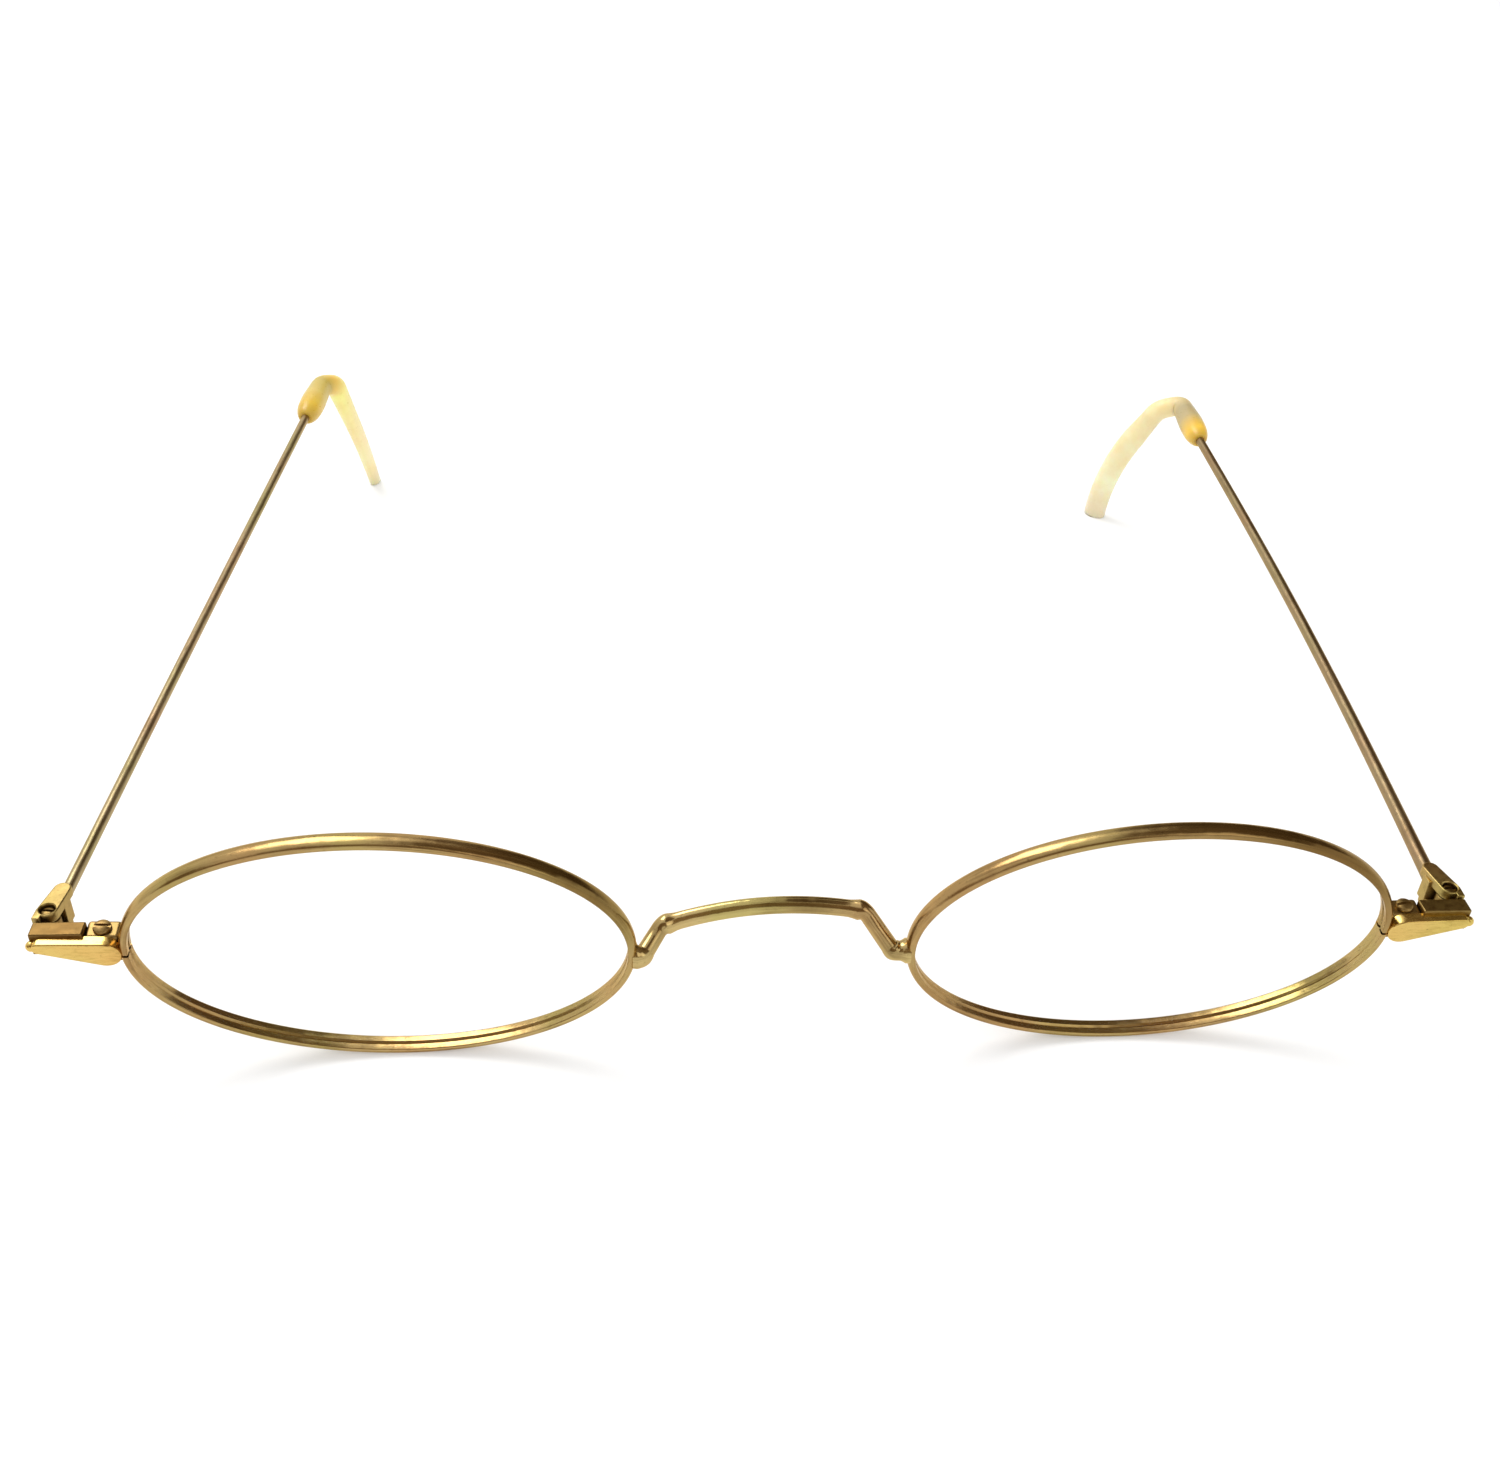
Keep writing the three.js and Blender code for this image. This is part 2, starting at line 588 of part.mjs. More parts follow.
const sides = [
  {
    name: "left",
    sign: 1,
    swing: LEFT_SWING_DEG,
    mouth: LEFT_TIP_MOUTH,
    inset: LEFT_TIP_INSET,
    reach: LEFT_TIP_REACH,
    hollow: LEFT_TIP_HOLLOW,
    twist: LEFT_TIP_TWIST_DEG,
  },
  {
    name: "right",
    sign: -1,
    swing: RIGHT_SWING_DEG,
    mouth: RIGHT_TIP_MOUTH,
    inset: RIGHT_TIP_INSET,
    reach: RIGHT_TIP_REACH,
    hollow: RIGHT_TIP_HOLLOW,
    twist: RIGHT_TIP_TWIST_DEG,
  },
];

// Front: both eyewires with what is fixed to them, and the bridge between
const front = new THREE.Group();
front.rotation.x = radians(LEAN_DEG);
const halves = sides.map(({ name, sign }) => {
  const group = new THREE.Group();
  group.position.x = sign * rimCentre;
  group.rotation.y = -sign * radians(UPSWEEP_DEG);
  group.updateMatrix();
  front.add(group);
  return { name, sign, group };
});
const upright = front.quaternion.clone().multiply(halves[0].group.quaternion).invert();
for (const { name, sign, group } of halves) {
  group.add(piece(`${name}_eyewire`, eyewire(), gold, sign));
  group.add(piece(`${name}_lens`, lens(), clear, sign));
  group.add(piece(`${name}_rim_lock_upper`, lockHalf(1), gold, sign));
  group.add(piece(`${name}_rim_lock_lower`, lockHalf(-1), gold, sign));
  group.add(piece(`${name}_rim_screw`, lockScrew(), gold, sign));
  group.add(piece(`${name}_end_piece`, endPiece(upright), gold, sign));
}
front.add(piece("bridge", bridge(halves), gold));
front.updateMatrixWorld(true);

// Temples: each swings about its upright hinge axis, and its tip reaches down to the rims' lowest level
const hinge = hingePoint.clone().applyMatrix4(halves[0].group.matrixWorld);
const standHeight = hinge.z - new THREE.Box3().setFromObject(front, true).min.z;
const spectacles = new THREE.Group();
spectacles.add(front);
for (const side of sides) {
  const { name, sign, swing } = side;
  const temple = new THREE.Group();
  temple.position.set(sign * hinge.x, hinge.y, hinge.z);
  temple.rotation.z = sign * radians(swing);
  temple.add(piece(`${name}_temple_hinge`, templeHinge(), gold, sign));
  temple.add(piece(`${name}_hinge_screw`, hingeScrew(), gold, sign));
  temple.add(piece(`${name}_temple_wire`, templeWire(side), gold, sign));
  temple.add(piece(`${name}_temple_tip`, templeTip(side, standHeight), ivory, sign));
  spectacles.add(temple);
}

const outerBox = new THREE.Box3().setFromObject(spectacles, true);
const middle = outerBox.getCenter(new THREE.Vector3());
spectacles.position.set(-middle.x, -middle.y, -outerBox.min.z);

export default spectacles;
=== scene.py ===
"""Looks of the oval wire spectacles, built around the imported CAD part."""

import json
import math

import bmesh
import bpy
from mathutils import Matrix, Vector


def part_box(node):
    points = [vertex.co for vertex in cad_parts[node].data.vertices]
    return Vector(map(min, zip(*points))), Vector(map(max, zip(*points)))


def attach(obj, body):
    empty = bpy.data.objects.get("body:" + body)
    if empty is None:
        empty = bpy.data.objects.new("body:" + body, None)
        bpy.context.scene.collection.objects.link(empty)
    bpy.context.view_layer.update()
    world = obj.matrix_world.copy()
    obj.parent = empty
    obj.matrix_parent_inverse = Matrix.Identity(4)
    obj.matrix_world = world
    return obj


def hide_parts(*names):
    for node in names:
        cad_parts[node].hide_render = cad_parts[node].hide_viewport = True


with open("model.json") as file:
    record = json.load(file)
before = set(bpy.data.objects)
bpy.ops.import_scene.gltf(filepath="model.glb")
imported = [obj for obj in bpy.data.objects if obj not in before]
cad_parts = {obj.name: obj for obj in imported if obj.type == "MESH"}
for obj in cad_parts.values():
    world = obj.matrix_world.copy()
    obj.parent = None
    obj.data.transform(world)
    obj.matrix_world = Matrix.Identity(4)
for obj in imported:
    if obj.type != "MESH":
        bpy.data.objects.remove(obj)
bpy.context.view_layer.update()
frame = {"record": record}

# Sizes in millimetres that the solids have too
LENS_WIDTH = 44.95
LENS_HEIGHT = 29.75
LENS_THICKNESS = 1.6
LENS_CROWN = 0.5
LENS_CLEARANCE = 0.1
RIM_THICKNESS = 0.8
RIM_DEPTH = 1.7
RIM_EDGE = 0.15
GROOVE_DEPTH = 0.4
GROOVE_WIDTH = 0.6
RIM_SPLIT = 0.3
RIM_GAP = 25.05
UPSWEEP = math.radians(2)
LEAN = math.radians(8)

BRIDGE_WIRE = 1.4
LEFT_BRIDGE_STUB = 1.175
RIGHT_BRIDGE_STUB = 0.575
BRIDGE_DROP = 0.7
BRIDGE_SETBACK = 2.4
BRIDGE_RISE = 2.2
BRIDGE_BEND = 0.6
CREST_SPAN = 18.9
CREST_SHIFT = -0.75
CREST_TILT = 0.85
CREST_ARCH = 1.05
CREST_WIDTH = 1.65
CREST_THICKNESS = 1.2

LOCK_LENGTH = 2.875
LOCK_DEPTH = 2
LOCK_HEIGHT = 1.6
LOCK_SCREW = 0.8
LOCK_HEAD = 1.6
LOCK_HEAD_HEIGHT = 0.5
LOCK_SCREW_REACH = 1.6

PLATE_THICKNESS = 0.95
PLATE_PROUD = 0.2
PLATE_LAP = 0.325
PLATE_LENGTH = 7.6
PLATE_HEIGHT = 3
PLATE_TIP = 1.3
PLATE_LIFT = 0.35
PLATE_TIP_LIFT = 1.15
NUB_SIZE = 1
BAR_DEPTH = 1.7
BAR_SINK = 0.3
BAR_HEIGHT = 2.4
BAR_LIFT = 0.35
BAR_OVERHANG = 0.9

HINGE_SCREW = 1
HINGE_HEAD = 1.3
HINGE_HEAD_HEIGHT = 0.4
HINGE_HEAD_SINK = 0.25
HINGE_TAIL = 0.35
HINGE_OUT = 6.575
KNUCKLE_WALL = 0.25
KNUCKLE_HEIGHT = 1.4
ARM_WIDTH = 1.1
LEAF_THICKNESS = 1
LEAF_LENGTH = 2.8
LEAF_END = 1.6
WEB_LENGTH = 1.3
WEB_WALL = 0.2
HEEL_ROOM = 0.5
HEEL_GAP = 0.12
HEEL_WIDTH = 0.7

TEMPLE_WIRE = 1.05
TEMPLE_RISE = math.radians(2.5)
WIRE_INSET = 0.2
WIRE_NEST = 0.25
WIRE_SEAT = 0.5
TIP_SOCKET = 7
TIP_WIDTH = 3.3
TIP_FLATTEN = 6

JOINT_GAP = 0.05
RUNNING_FIT = 0.05
FACE_GAP = 0.08
SLOT_WIDTH = 0.3
SLOT_DEPTH = 0.22
SCREW_POINT = 0.12

# Sizes in millimetres that only the looks have: softer edges, solder, and forms left by use
OPEN_GROOVE_DEPTH = 0.16
OPEN_GROOVE_WIDTH = 0.4
SOLDER_LENGTH = 1.1
SOLDER_FLARE = 0.42
LEG_SWELL = 0.09
SHOULDER_SIZE = 0.18
SHOULDER_LENGTH = 0.55
SHOULDER_INSET = 0.5
FOOT_SIZE = 0.24
FOOT_LENGTH = 0.5
LOCK_EDGE = 0.35
LOCK_LAP = 0.12
PLATE_BEVEL = 0.18
PLATE_BACKING = 0.25
BAR_EDGE = 0.16
BAR_REACH = 0.2
ARM_EDGE = 0.05
KNUCKLE_EDGE = 0.08
LEAF_EDGE = 0.16
WEB_EDGE = 0.06
HEEL_EDGE = 0.08
SINK_CHAMFER = 0.12
SINK_CHAMFER_DEPTH = 0.1
SINK_OVERCUT = 0.02
SLOT_EDGE = 0.02
WIRE_FLARE = 5
TIP_BELL = 3.3
TIP_BELL_LENGTH = 9
TIP_NECK = 2.8
TIP_MOUTH = 1.45
TIP_EGG = 2.5
TIP_SWEEP = 8
TIP_THICKNESS = 2.25
TIP_FOOT_BEVEL = 0.2
AXIS_RADIUS = 0.01
POINT_SPACING = 0.001

# Shares: of a screw head that is domed, of a radius that is left at a pole, and of the tip's length
# before it tapers
DOME_SHARE = 0.6
SCREW_POLE = 0.01
NUB_POLE = 0.02
TAPER_START = 0.4

# How each side was last adjusted, in millimetres apart from angles and shares. The temple is swung
# inwards. Its wire leaves the hinge further in by the lead, is bent out by the bow, and meets the
# tip further in by the shift. The flare is how much thicker the wire is all along, more and more
# towards the hinge, and close to it. The tip starts at its mouth, runs straight, makes a turn with
# two eased corners, is bent at its waist, and ends at its foot, inwards and beyond the mouth. On
# the way down it twists, and narrows to its taper.
# Tarnish and painted shade of the eyewire: degrees from its temple side over the top, half width,
# and depth. Shade and stains: depth of the tarnish and painted shade on other pieces.
SIDES = {
    "left": {
        "sign": 1,
        "swing": math.radians(-1.2),
        "tarnish": ((48, 46, 0.92), (140, 28, 0.22), (205, 30, 0.34), (257, 22, 0.1)),
        "shade_and_stains": {"bar": 0.6, "lock": 0.55, "wire": 0.36, "hinge": 0},
        "lead": 0.55,
        "shift": 0.2,
        "bow": 0.8,
        "flare": (0.09, 0.2, 0.22),
        "mouth": 89.15,
        "tip": {
            "straight": 10.45,
            "turn": Vector((-2.97, 0.63, -1.03)),
            "ease": 0.38,
            "waist": 0.61,
            "bend": Vector((-1.75, 1.3, 0)),
            "foot": (7.7, 17.25),
            "twist": math.radians(-50),
            "taper": 1,
        },
    },
    "right": {
        "sign": -1,
        "swing": math.radians(5.2),
        "tarnish": ((142, 31, 0.75), (335, 34, 0.2), (40, 30, 0.2), (72, 18, 0.2)),
        "shade_and_stains": {"bar": 0.82, "lock": 0.3, "wire": 0.08, "hinge": 0.22},
        "lead": 0.1,
        "shift": 0,
        "bow": 0.1,
        "flare": (0, 0.02, 0.03),
        "mouth": 94.3,
        "tip": {
            "straight": 9.6,
            "turn": Vector((-1.3, 1.95, -0.72)),
            "ease": 0.38,
            "waist": 0.65,
            "bend": Vector((0, 1.07, 0)),
            "foot": (2.5, 22.7),
            "twist": math.radians(-2),
            "taper": 0.66,
        },
    },
}

# Tarnish and painted shade of the bridge: place across the face, half width and depth. In the
# groove of an eyewire, tarnish and painted shade are deeper by this factor
BRIDGE_TARNISH_AND_SHADE = ((-10.9, 0.8, 0.6), (3.4, 3.2, 0.45), (9.9, 1.1, 0.3))
GROOVE_DEEPENING = 1.3

# Camera, as fitted to the rims in the photograph: angles, millimetres and pixels
CAMERA_AZIMUTH = math.radians(-5.516)
CAMERA_ELEVATION = math.radians(36.778)
CAMERA_ROLL = math.radians(2.84)
CAMERA_DISTANCE = 133.49
CAMERA_TARGET = Vector((-3.047, 0.029, 23.579))
CAMERA_FOCUS = 1600
IMAGE_WIDTH = 1500
SENSOR_WIDTH = 36
CLIP_START = 0.001

# Gilt finishes: linear colours of bright and dull plating, roughness of polished and scuffed
# stretches, marks per metre where they don't follow a drawn wire, and depth of painted shade in
# corners, of the piece alone or also where it meets its neighbours
FINE_GRAIN = (2600, 2600, 2600)
PLATE_GRAIN = (900, 4200, 4200)
FINISHES = {
    "rim": {
        "bright": (0.47, 0.335, 0.135),
        "dull": (0.27, 0.18, 0.07),
        "polish": (0.17, 0.3),
        "corner_shade": 0.4,
    },
    "bridge": {
        "bright": (0.53, 0.4, 0.168),
        "dull": (0.31, 0.22, 0.088),
        "polish": (0.12, 0.25),
        "corner_shade": 0.4,
    },
    "wire": {
        "bright": (0.42, 0.33, 0.19),
        "dull": (0.25, 0.19, 0.1),
        "polish": (0.26, 0.44),
        "corner_shade": 0.85,
    },
    "joint": {
        "bright": (0.45, 0.325, 0.12),
        "dull": (0.27, 0.185, 0.065),
        "polish": (0.3, 0.46),
        "corner_shade": 0.38,
        "grain": FINE_GRAIN,
        "alone": False,
    },
    "plate": {
        "bright": (0.69, 0.49, 0.15),
        "dull": (0.53, 0.36, 0.1),
        "polish": (0.16, 0.3),
        "corner_shade": 0.4,
        "grain": PLATE_GRAIN,
    },
    # The screw's dark colours: aged metal, and painted shade of its sunken seat
    "screw": {
        "bright": (0.22, 0.14, 0.05),
        "dull": (0.09, 0.05, 0.018),
        "polish": (0.25, 0.4),
        "corner_shade": 0.85,
        "grain": FINE_GRAIN,
        "alone": False,
    },
}

# Other linear colours
WHITE = (1, 1, 1)
# Dark brown of tarnish, also used as painted shade where the metal would mirror dark surroundings
TARNISH_AND_SHADE = (0.15, 0.08, 0.022)
# Dark brown of grime specks, and of the painted shade in corners
GRIME_AND_SHADE = (0.09, 0.05, 0.015)
OLIVE = (0.91, 0.98, 0.85)
ROSY = (1, 0.89, 0.9)
GRAZING = (1, 0.86, 0.64)
CLOUDED = (0.93, 0.88, 0.78)
LENS_TINT = (0.02, 0.03, 0.025)
FLOOR_COLOUR = (0.82, 0.82, 0.82)
FLAG_COLOUR = (1, 0.72, 0.45)

# Plastic of each tip, from its mouth to its foot
IVORY = {
    "left": [
        (0.0, (0.62, 0.4, 0.05)),
        (0.04, (0.9, 0.6, 0.08)),
        (0.08, (0.74, 0.5, 0.11)),
        (0.13, (0.54, 0.43, 0.21)),
        (0.2, (0.5, 0.42, 0.23)),
        (0.25, (0.7, 0.58, 0.31)),
        (0.3, (0.95, 0.81, 0.46)),
        (0.45, (0.99, 0.87, 0.53)),
        (0.75, (0.99, 0.94, 0.64)),
        (0.87, (0.9, 0.82, 0.62)),
        (1.0, (0.68, 0.62, 0.42)),
    ],
    "right": [
        (0.0, (0.6, 0.4, 0.05)),
        (0.05, (0.74, 0.5, 0.06)),
        (0.13, (0.7, 0.54, 0.13)),
        (0.23, (0.56, 0.43, 0.08)),
        (0.28, (0.85, 0.62, 0.15)),
        (0.33, (0.99, 0.9, 0.3)),
        (0.45, (0.99, 0.87, 0.38)),
        (0.62, (0.99, 0.81, 0.43)),
        (0.8, (0.99, 0.88, 0.51)),
        (0.9, (0.86, 0.82, 0.56)),
        (1.0, (0.6, 0.56, 0.38)),
    ],
}

# Textures: scale per metre, and reach or height in metres
PATCH_SCALE = 150
DRIFT_SCALE = 95
SPECK_SCALE = 2300
WAVE_SCALE = 300
CLOUD_SCALE = 260
SCUFF_SCALE = 2600
SMEAR_SCALE = 180
# Reach of the painted shade in corners, in metres:
PAINTED_SHADE_REACH = 0.0007
WAVE_HEIGHT = 0.0003
MARK_HEIGHT = 0.00003
CLOUD_HEIGHT = 0.0001
IVORY_GLOW_REACH = 0.0012

# Light through the plastic and the lenses
IVORY_GLOW = 0.6
IVORY_GLOW_RADIUS = (1, 0.7, 0.35)
IVORY_IOR = 1.49
LENS_COVER = 0.012
LENS_IOR = 1.5

# Studio in metres: place, size and power of the soft lamps, and place, size and glow of the flags
STUDIO_TARGET = (0, -0.03, 0.02)
LAMPS = {
    "key": ((-0.27, 0.25, 0.55), (0.32, 0.32), 1.8),
    "fill": ((0.3, -0.35, 0.4), (0.3, 0.3), 0.3),
}
FLAGS = {
    "right_flag": ((0.42, 0.42, 0.42), (0.8, 0.8), 0.16),
    "top_flag": ((0.3, -0.08, 0.55), (0.56, 0.7), 0.22),
    "left_flag": ((-0.62, -0.34, 0.22), (0.6, 0.34), 0.34),
    "camera_flag": ((-0.03, -0.5, 0.44), (0.9, 0.46), 0.3),
}
FLOOR_SIZE = 4
FLOOR_ROUGHNESS = 0.9
FLOOR_GLOW = 0.2
AMBIENT = 0.84

# Fineness of the curves
RIM_STEPS = 240
SECTION_STEPS = 14
WIRE_SIDES = 28
WIRE_STEPS = 120
ROUND_SIDES = 48
ARC_STEPS = 14
BEND_STEPS = 12
CREST_STEPS = 40
EDGE_STEPS = 4
TIP_SIDES = 32
LENS_SIDES = 160
LENS_RINGS = (0.06, 0.2, 0.35, 0.5, 0.65, 0.8, 0.92, 1)
SMOOTH_ANGLE = math.radians(32)

# Streaks of a drawn wire: millimetres along it, and how many round it
STREAK_LENGTH = 9
STREAKS = 2.6

# Sockets of a mix node that carry colours
MIX_FIRST = 6
MIX_SECOND = 7
MIX_RESULT = 2

MM_PER_METRE = 1000
METRES = Matrix.Scale(1 / MM_PER_METRE, 4)

rim_half_width = LENS_WIDTH / 2 + LENS_CLEARANCE + RIM_THICKNESS / 2 - GROOVE_DEPTH
rim_half_height = LENS_HEIGHT / 2 + LENS_CLEARANCE + RIM_THICKNESS / 2 - GROOVE_DEPTH
rim_outer = rim_half_width + RIM_THICKNESS / 2
rim_centre = RIM_GAP / 2 + rim_outer
leg_run = Vector((0, BRIDGE_SETBACK, BRIDGE_RISE)).normalized()
plate_front = -(RIM_DEPTH / 2 + PLATE_PROUD)
plate_back = plate_front + PLATE_THICKNESS
plate_inner = rim_outer - PLATE_LAP
lock_front = plate_back + JOINT_GAP
lock_back = lock_front + LOCK_DEPTH
lock_outer = rim_outer + LOCK_LENGTH
lock_screw_x = rim_outer + LOCK_LENGTH / 2
lock_screw_y = (lock_front + lock_back) / 2
lock_top = RIM_SPLIT / 2 + LOCK_HEIGHT
knuckle_radius = HINGE_HEAD / 2 + RUNNING_FIT + KNUCKLE_WALL
hinge_bore = HINGE_SCREW / 2 + RUNNING_FIT
bar_back = -(knuckle_radius + HEEL_ROOM)
bar_front = bar_back - BAR_DEPTH
leaf_bottom = KNUCKLE_HEIGHT / 2 + FACE_GAP
leaf_top = leaf_bottom + LEAF_THICKNESS
screw_seat = leaf_top - HINGE_HEAD_SINK - HINGE_HEAD_HEIGHT
web_front = knuckle_radius + 2 * FACE_GAP
web_back = web_front + WEB_LENGTH
web_width = TEMPLE_WIRE + 2 * WEB_WALL
wire_start = Vector((-WIRE_INSET, 0, leaf_bottom + WIRE_NEST - TEMPLE_WIRE / 2))
wire_run = Vector((0, math.cos(TEMPLE_RISE), math.sin(TEMPLE_RISE)))


def mix(a, b, share):
    return a + (b - a) * share


def clamp(value):
    return min(max(value, 0), 1)


def smoothstep(value, low, high):
    """A smooth rise from 0 at low to 1 at high."""
    share = clamp((value - low) / (high - low))
    return share * share * (3 - 2 * share)


def hump(distance, width):
    """1 in the middle of a smooth hump, falling to nothing on both sides."""
    return math.exp(-((distance / width) ** 2))


def tarnish_and_shade_at(place, patches):
    """How deeply a place is tarnished and painted with shade, by patches of middle, half width and
    depth.
    """
    return sum(depth * hump(place - centre, width) for centre, width, depth in patches)


def circle(sides):
    """The angles of a ring's points."""
    return [2 * math.pi * j / sides for j in range(sides)]


# Temporary solids in millimetres

def scene_object(work):
    """Makes an object of a finished bmesh."""
    mesh = bpy.data.meshes.new("solid")
    work.to_mesh(mesh)
    work.free()
    obj = bpy.data.objects.new("solid", mesh)
    bpy.context.scene.collection.objects.link(obj)
    return obj


def solid(verts, faces):
    """A closed mesh object with its faces turned out."""
    work = bmesh.new()
    made = [work.verts.new(v) for v in verts]
    for face in faces:
        work.faces.new([made[i] for i in face])
    bmesh.ops.recalc_face_normals(work, faces=work.faces)
    return scene_object(work)


def loft(rings):
    """A closed skin over rings of points, capped at both ends."""
    sides = len(rings[0])
    verts = [p for ring in rings for p in ring]
    faces = [list(range(sides)), [len(verts) - 1 - j for j in range(sides)]]
    for k in range(len(rings) - 1):
        for j in range(sides):
            near = k * sides + j
            following = k * sides + (j + 1) % sides
            faces.append([near, following, following + sides, near + sides])
    return solid(verts, faces)


def noted(obj, name, values):
    """Keeps a number for each point, which the material reads."""
    obj.data.attributes.new(name, "FLOAT", "POINT").data.foreach_set("value", values)
    return obj


def shaded_and_stained(obj, depths):
    """Notes how deeply each point is tarnished and painted with shade."""
    return noted(obj, "tarnish", depths)


def shaded_and_stained_all_over(obj, depth):
    return shaded_and_stained(obj, [depth] * len(obj.data.vertices))


def drawn(obj, rings):
    """Notes how far each point lies along and round a lofted wire, for its streaks."""
    centres = [sum(ring, Vector()) / len(ring) for ring in rings]
    length = 0
    runs = []
    for k, ring in enumerate(rings):
        length += (centres[k] - centres[k - 1]).length if k else 0
        for turn in circle(len(ring)):
            runs += [length / STREAK_LENGTH, STREAKS * math.cos(turn), STREAKS * math.sin(turn)]
    values = obj.data.attributes.new("run", "FLOAT_VECTOR", "POINT")
    values.data.foreach_set("vector", runs)
    return obj


def lathe(profile):
    """A turned solid about the Z axis: radius and height along the profile, from end to end."""
    rings = []
    for radius, height in profile:
        ring = [(radius * math.cos(t), radius * math.sin(t), height) for t in circle(ROUND_SIDES)]
        rings.append([Vector(p) for p in ring])
    return loft(rings)


def bore(radius, reach):
    """A straight round hole to be cut, about the Z axis."""
    return lathe([(radius, -reach), (radius, reach)])


def leaf_ring(start, start_radius, end, end_radius):
    """The outline round two circles, in plan."""
    heading = math.atan2(end[1] - start[1], end[0] - start[0])
    spread = math.acos((start_radius - end_radius) / math.dist(start, end))
    ring = []

    def arc(centre, radius, first, angle):
        for k in range(2 * ARC_STEPS + 1):
            turn = first + angle * k / (2 * ARC_STEPS)
            ring.append((centre[0] + radius * math.cos(turn), centre[1] + radius * math.sin(turn)))

    arc(start, start_radius, heading + spread, 2 * math.pi - 2 * spread)
    arc(end, end_radius, heading - spread, 2 * spread)
    return ring


def leaf(start, start_radius, end, end_radius, bottom, top, edge):
    """A leaf-shaped plate between two heights, with rounded edges."""
    levels = []
    for k in range(EDGE_STEPS + 1):
        turn = math.pi / 2 * k / EDGE_STEPS
        levels.append((edge * (1 - math.sin(turn)), bottom + edge * (1 - math.cos(turn))))
    levels += [(inset, bottom + top - height) for inset, height in reversed(levels)]
    rings = []
    for inset, height in levels:
        ring = leaf_ring(start, start_radius - inset, end, end_radius - inset)
        rings.append([Vector((x, y, height)) for x, y in ring])
    return loft(rings)


def rounded(work, edges, size):
    """Rounds some edges of a bmesh."""
    bmesh.ops.bevel(
        work, geom=edges, offset=size, segments=EDGE_STEPS, profile=0.5, affect="EDGES"
    )


def block(low, high, edge):
    """A box with rounded edges."""
    low, high = Vector(low), Vector(high)
    work = bmesh.new()
    bmesh.ops.create_cube(work, size=1)
    for v in work.verts:
        v.co = Vector(mix(low[i], high[i], v.co[i] + 0.5) for i in range(3))
    rounded(work, work.edges[:], edge)
    return scene_object(work)


def moved(obj, matrix):
    obj.data.transform(matrix)
    if matrix.determinant() < 0:
        obj.data.flip_normals()
    return obj


def carve(base, added=(), removed=()):
    """The base joined with some solids and cut by others."""
    for tools, operation in ((added, "UNION"), (removed, "DIFFERENCE")):
        for tool in tools:
            cut = base.modifiers.new("carve", "BOOLEAN")
            cut.operation = operation
            cut.solver = "EXACT"
            cut.object = tool
    bpy.context.view_layer.update()
    evaluated = base.evaluated_get(bpy.context.evaluated_depsgraph_get())
    mesh = bpy.data.meshes.new_from_object(evaluated)
    base.modifiers.clear()
    base.data = mesh
    for tool in (*added, *removed):
        bpy.data.objects.remove(tool)
    return base


def bent_path(corners):
    """Points and directions along straight runs between corners of a place, an ease and steps.

    Each inner corner is eased into a parabolic bend.
    """
    path = []

    def add(point, direction):
        if not path or (path[-1][0] - point).length > POINT_SPACING:
            path.append((point, direction.normalized()))

    first, last = corners[0][0], corners[-1][0]
    add(first, corners[1][0] - first)
    for k in range(1, len(corners) - 1):
        at, ease, steps = corners[k]
        start = at - (at - corners[k - 1][0]).normalized() * ease
        end = at + (corners[k + 1][0] - at).normalized() * ease
        for i in range(steps + 1):
            t = i / steps
            point = start * (1 - t) ** 2 + at * (2 * t * (1 - t)) + end * t**2
            add(point, (at - start) * (1 - t) + (end - at) * t)
    add(last, last - corners[-2][0])
    return path


def sweep(path, reference, sections, sides):
    """An oval section carried along a path.

    Each section is half its size along the reference, half its size across it, and its twist.
    """
    rings = []
    for (point, direction), (along, across, twist) in zip(path, sections):
        u = (reference - direction * reference.dot(direction)).normalized()
        v = direction.cross(u)
        cosine, sine = math.cos(twist), math.sin(twist)
        u, v = u * cosine + v * sine, v * cosine - u * sine
        ring = []
        for turn in circle(sides):
            ring.append(point + u * (along * math.cos(turn)) + v * (across * math.sin(turn)))
        rings.append(ring)
    return drawn(loft(rings), rings)


# Places of the halves in the frame

def centre_of(node):
    low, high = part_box(node)
    return (low + high) / 2 * MM_PER_METRE


middle = (centre_of("left_eyewire") + centre_of("right_eyewire")) / 2
front_place = Matrix.Translation(middle) @ Matrix.Rotation(LEAN, 4, "X")
joints = frame["record"]["behaviour"]["joints"]
hinges = {joint["child"]: Vector(joint["pos_m"]) * MM_PER_METRE for joint in joints}


def mirrored(sign):
    return Matrix.Diagonal((sign, 1, 1, 1))


def rim_place(sign):
    turn = Matrix.Rotation(-sign * UPSWEEP, 4, "Y")
    return front_place @ Matrix.Translation((sign * rim_centre, 0, 0)) @ turn @ mirrored(sign)


def hinge_place(name, sign, swing=0):
    turn = Matrix.Rotation(sign * swing, 4, "Z")
    return Matrix.Translation(hinges[f"{name}_temple"]) @ turn @ mirrored(sign)


# Materials

def plug(socket, value):
    """Links a socket to another one, or sets it to a fixed value."""
    if isinstance(value, bpy.types.NodeSocket):
        socket.id_data.links.new(value, socket)
    else:
        socket.default_value = value


def node_maker(tree):
    """A helper that adds nodes with their settings and inputs to a tree."""

    def node(kind, settings=(), **inputs):
        new = tree.nodes.new(kind)
        for key, value in dict(settings).items():
            setattr(new, key, value)
        for key, value in inputs.items():
            plug(new.inputs[key], value)
        return new

    return node


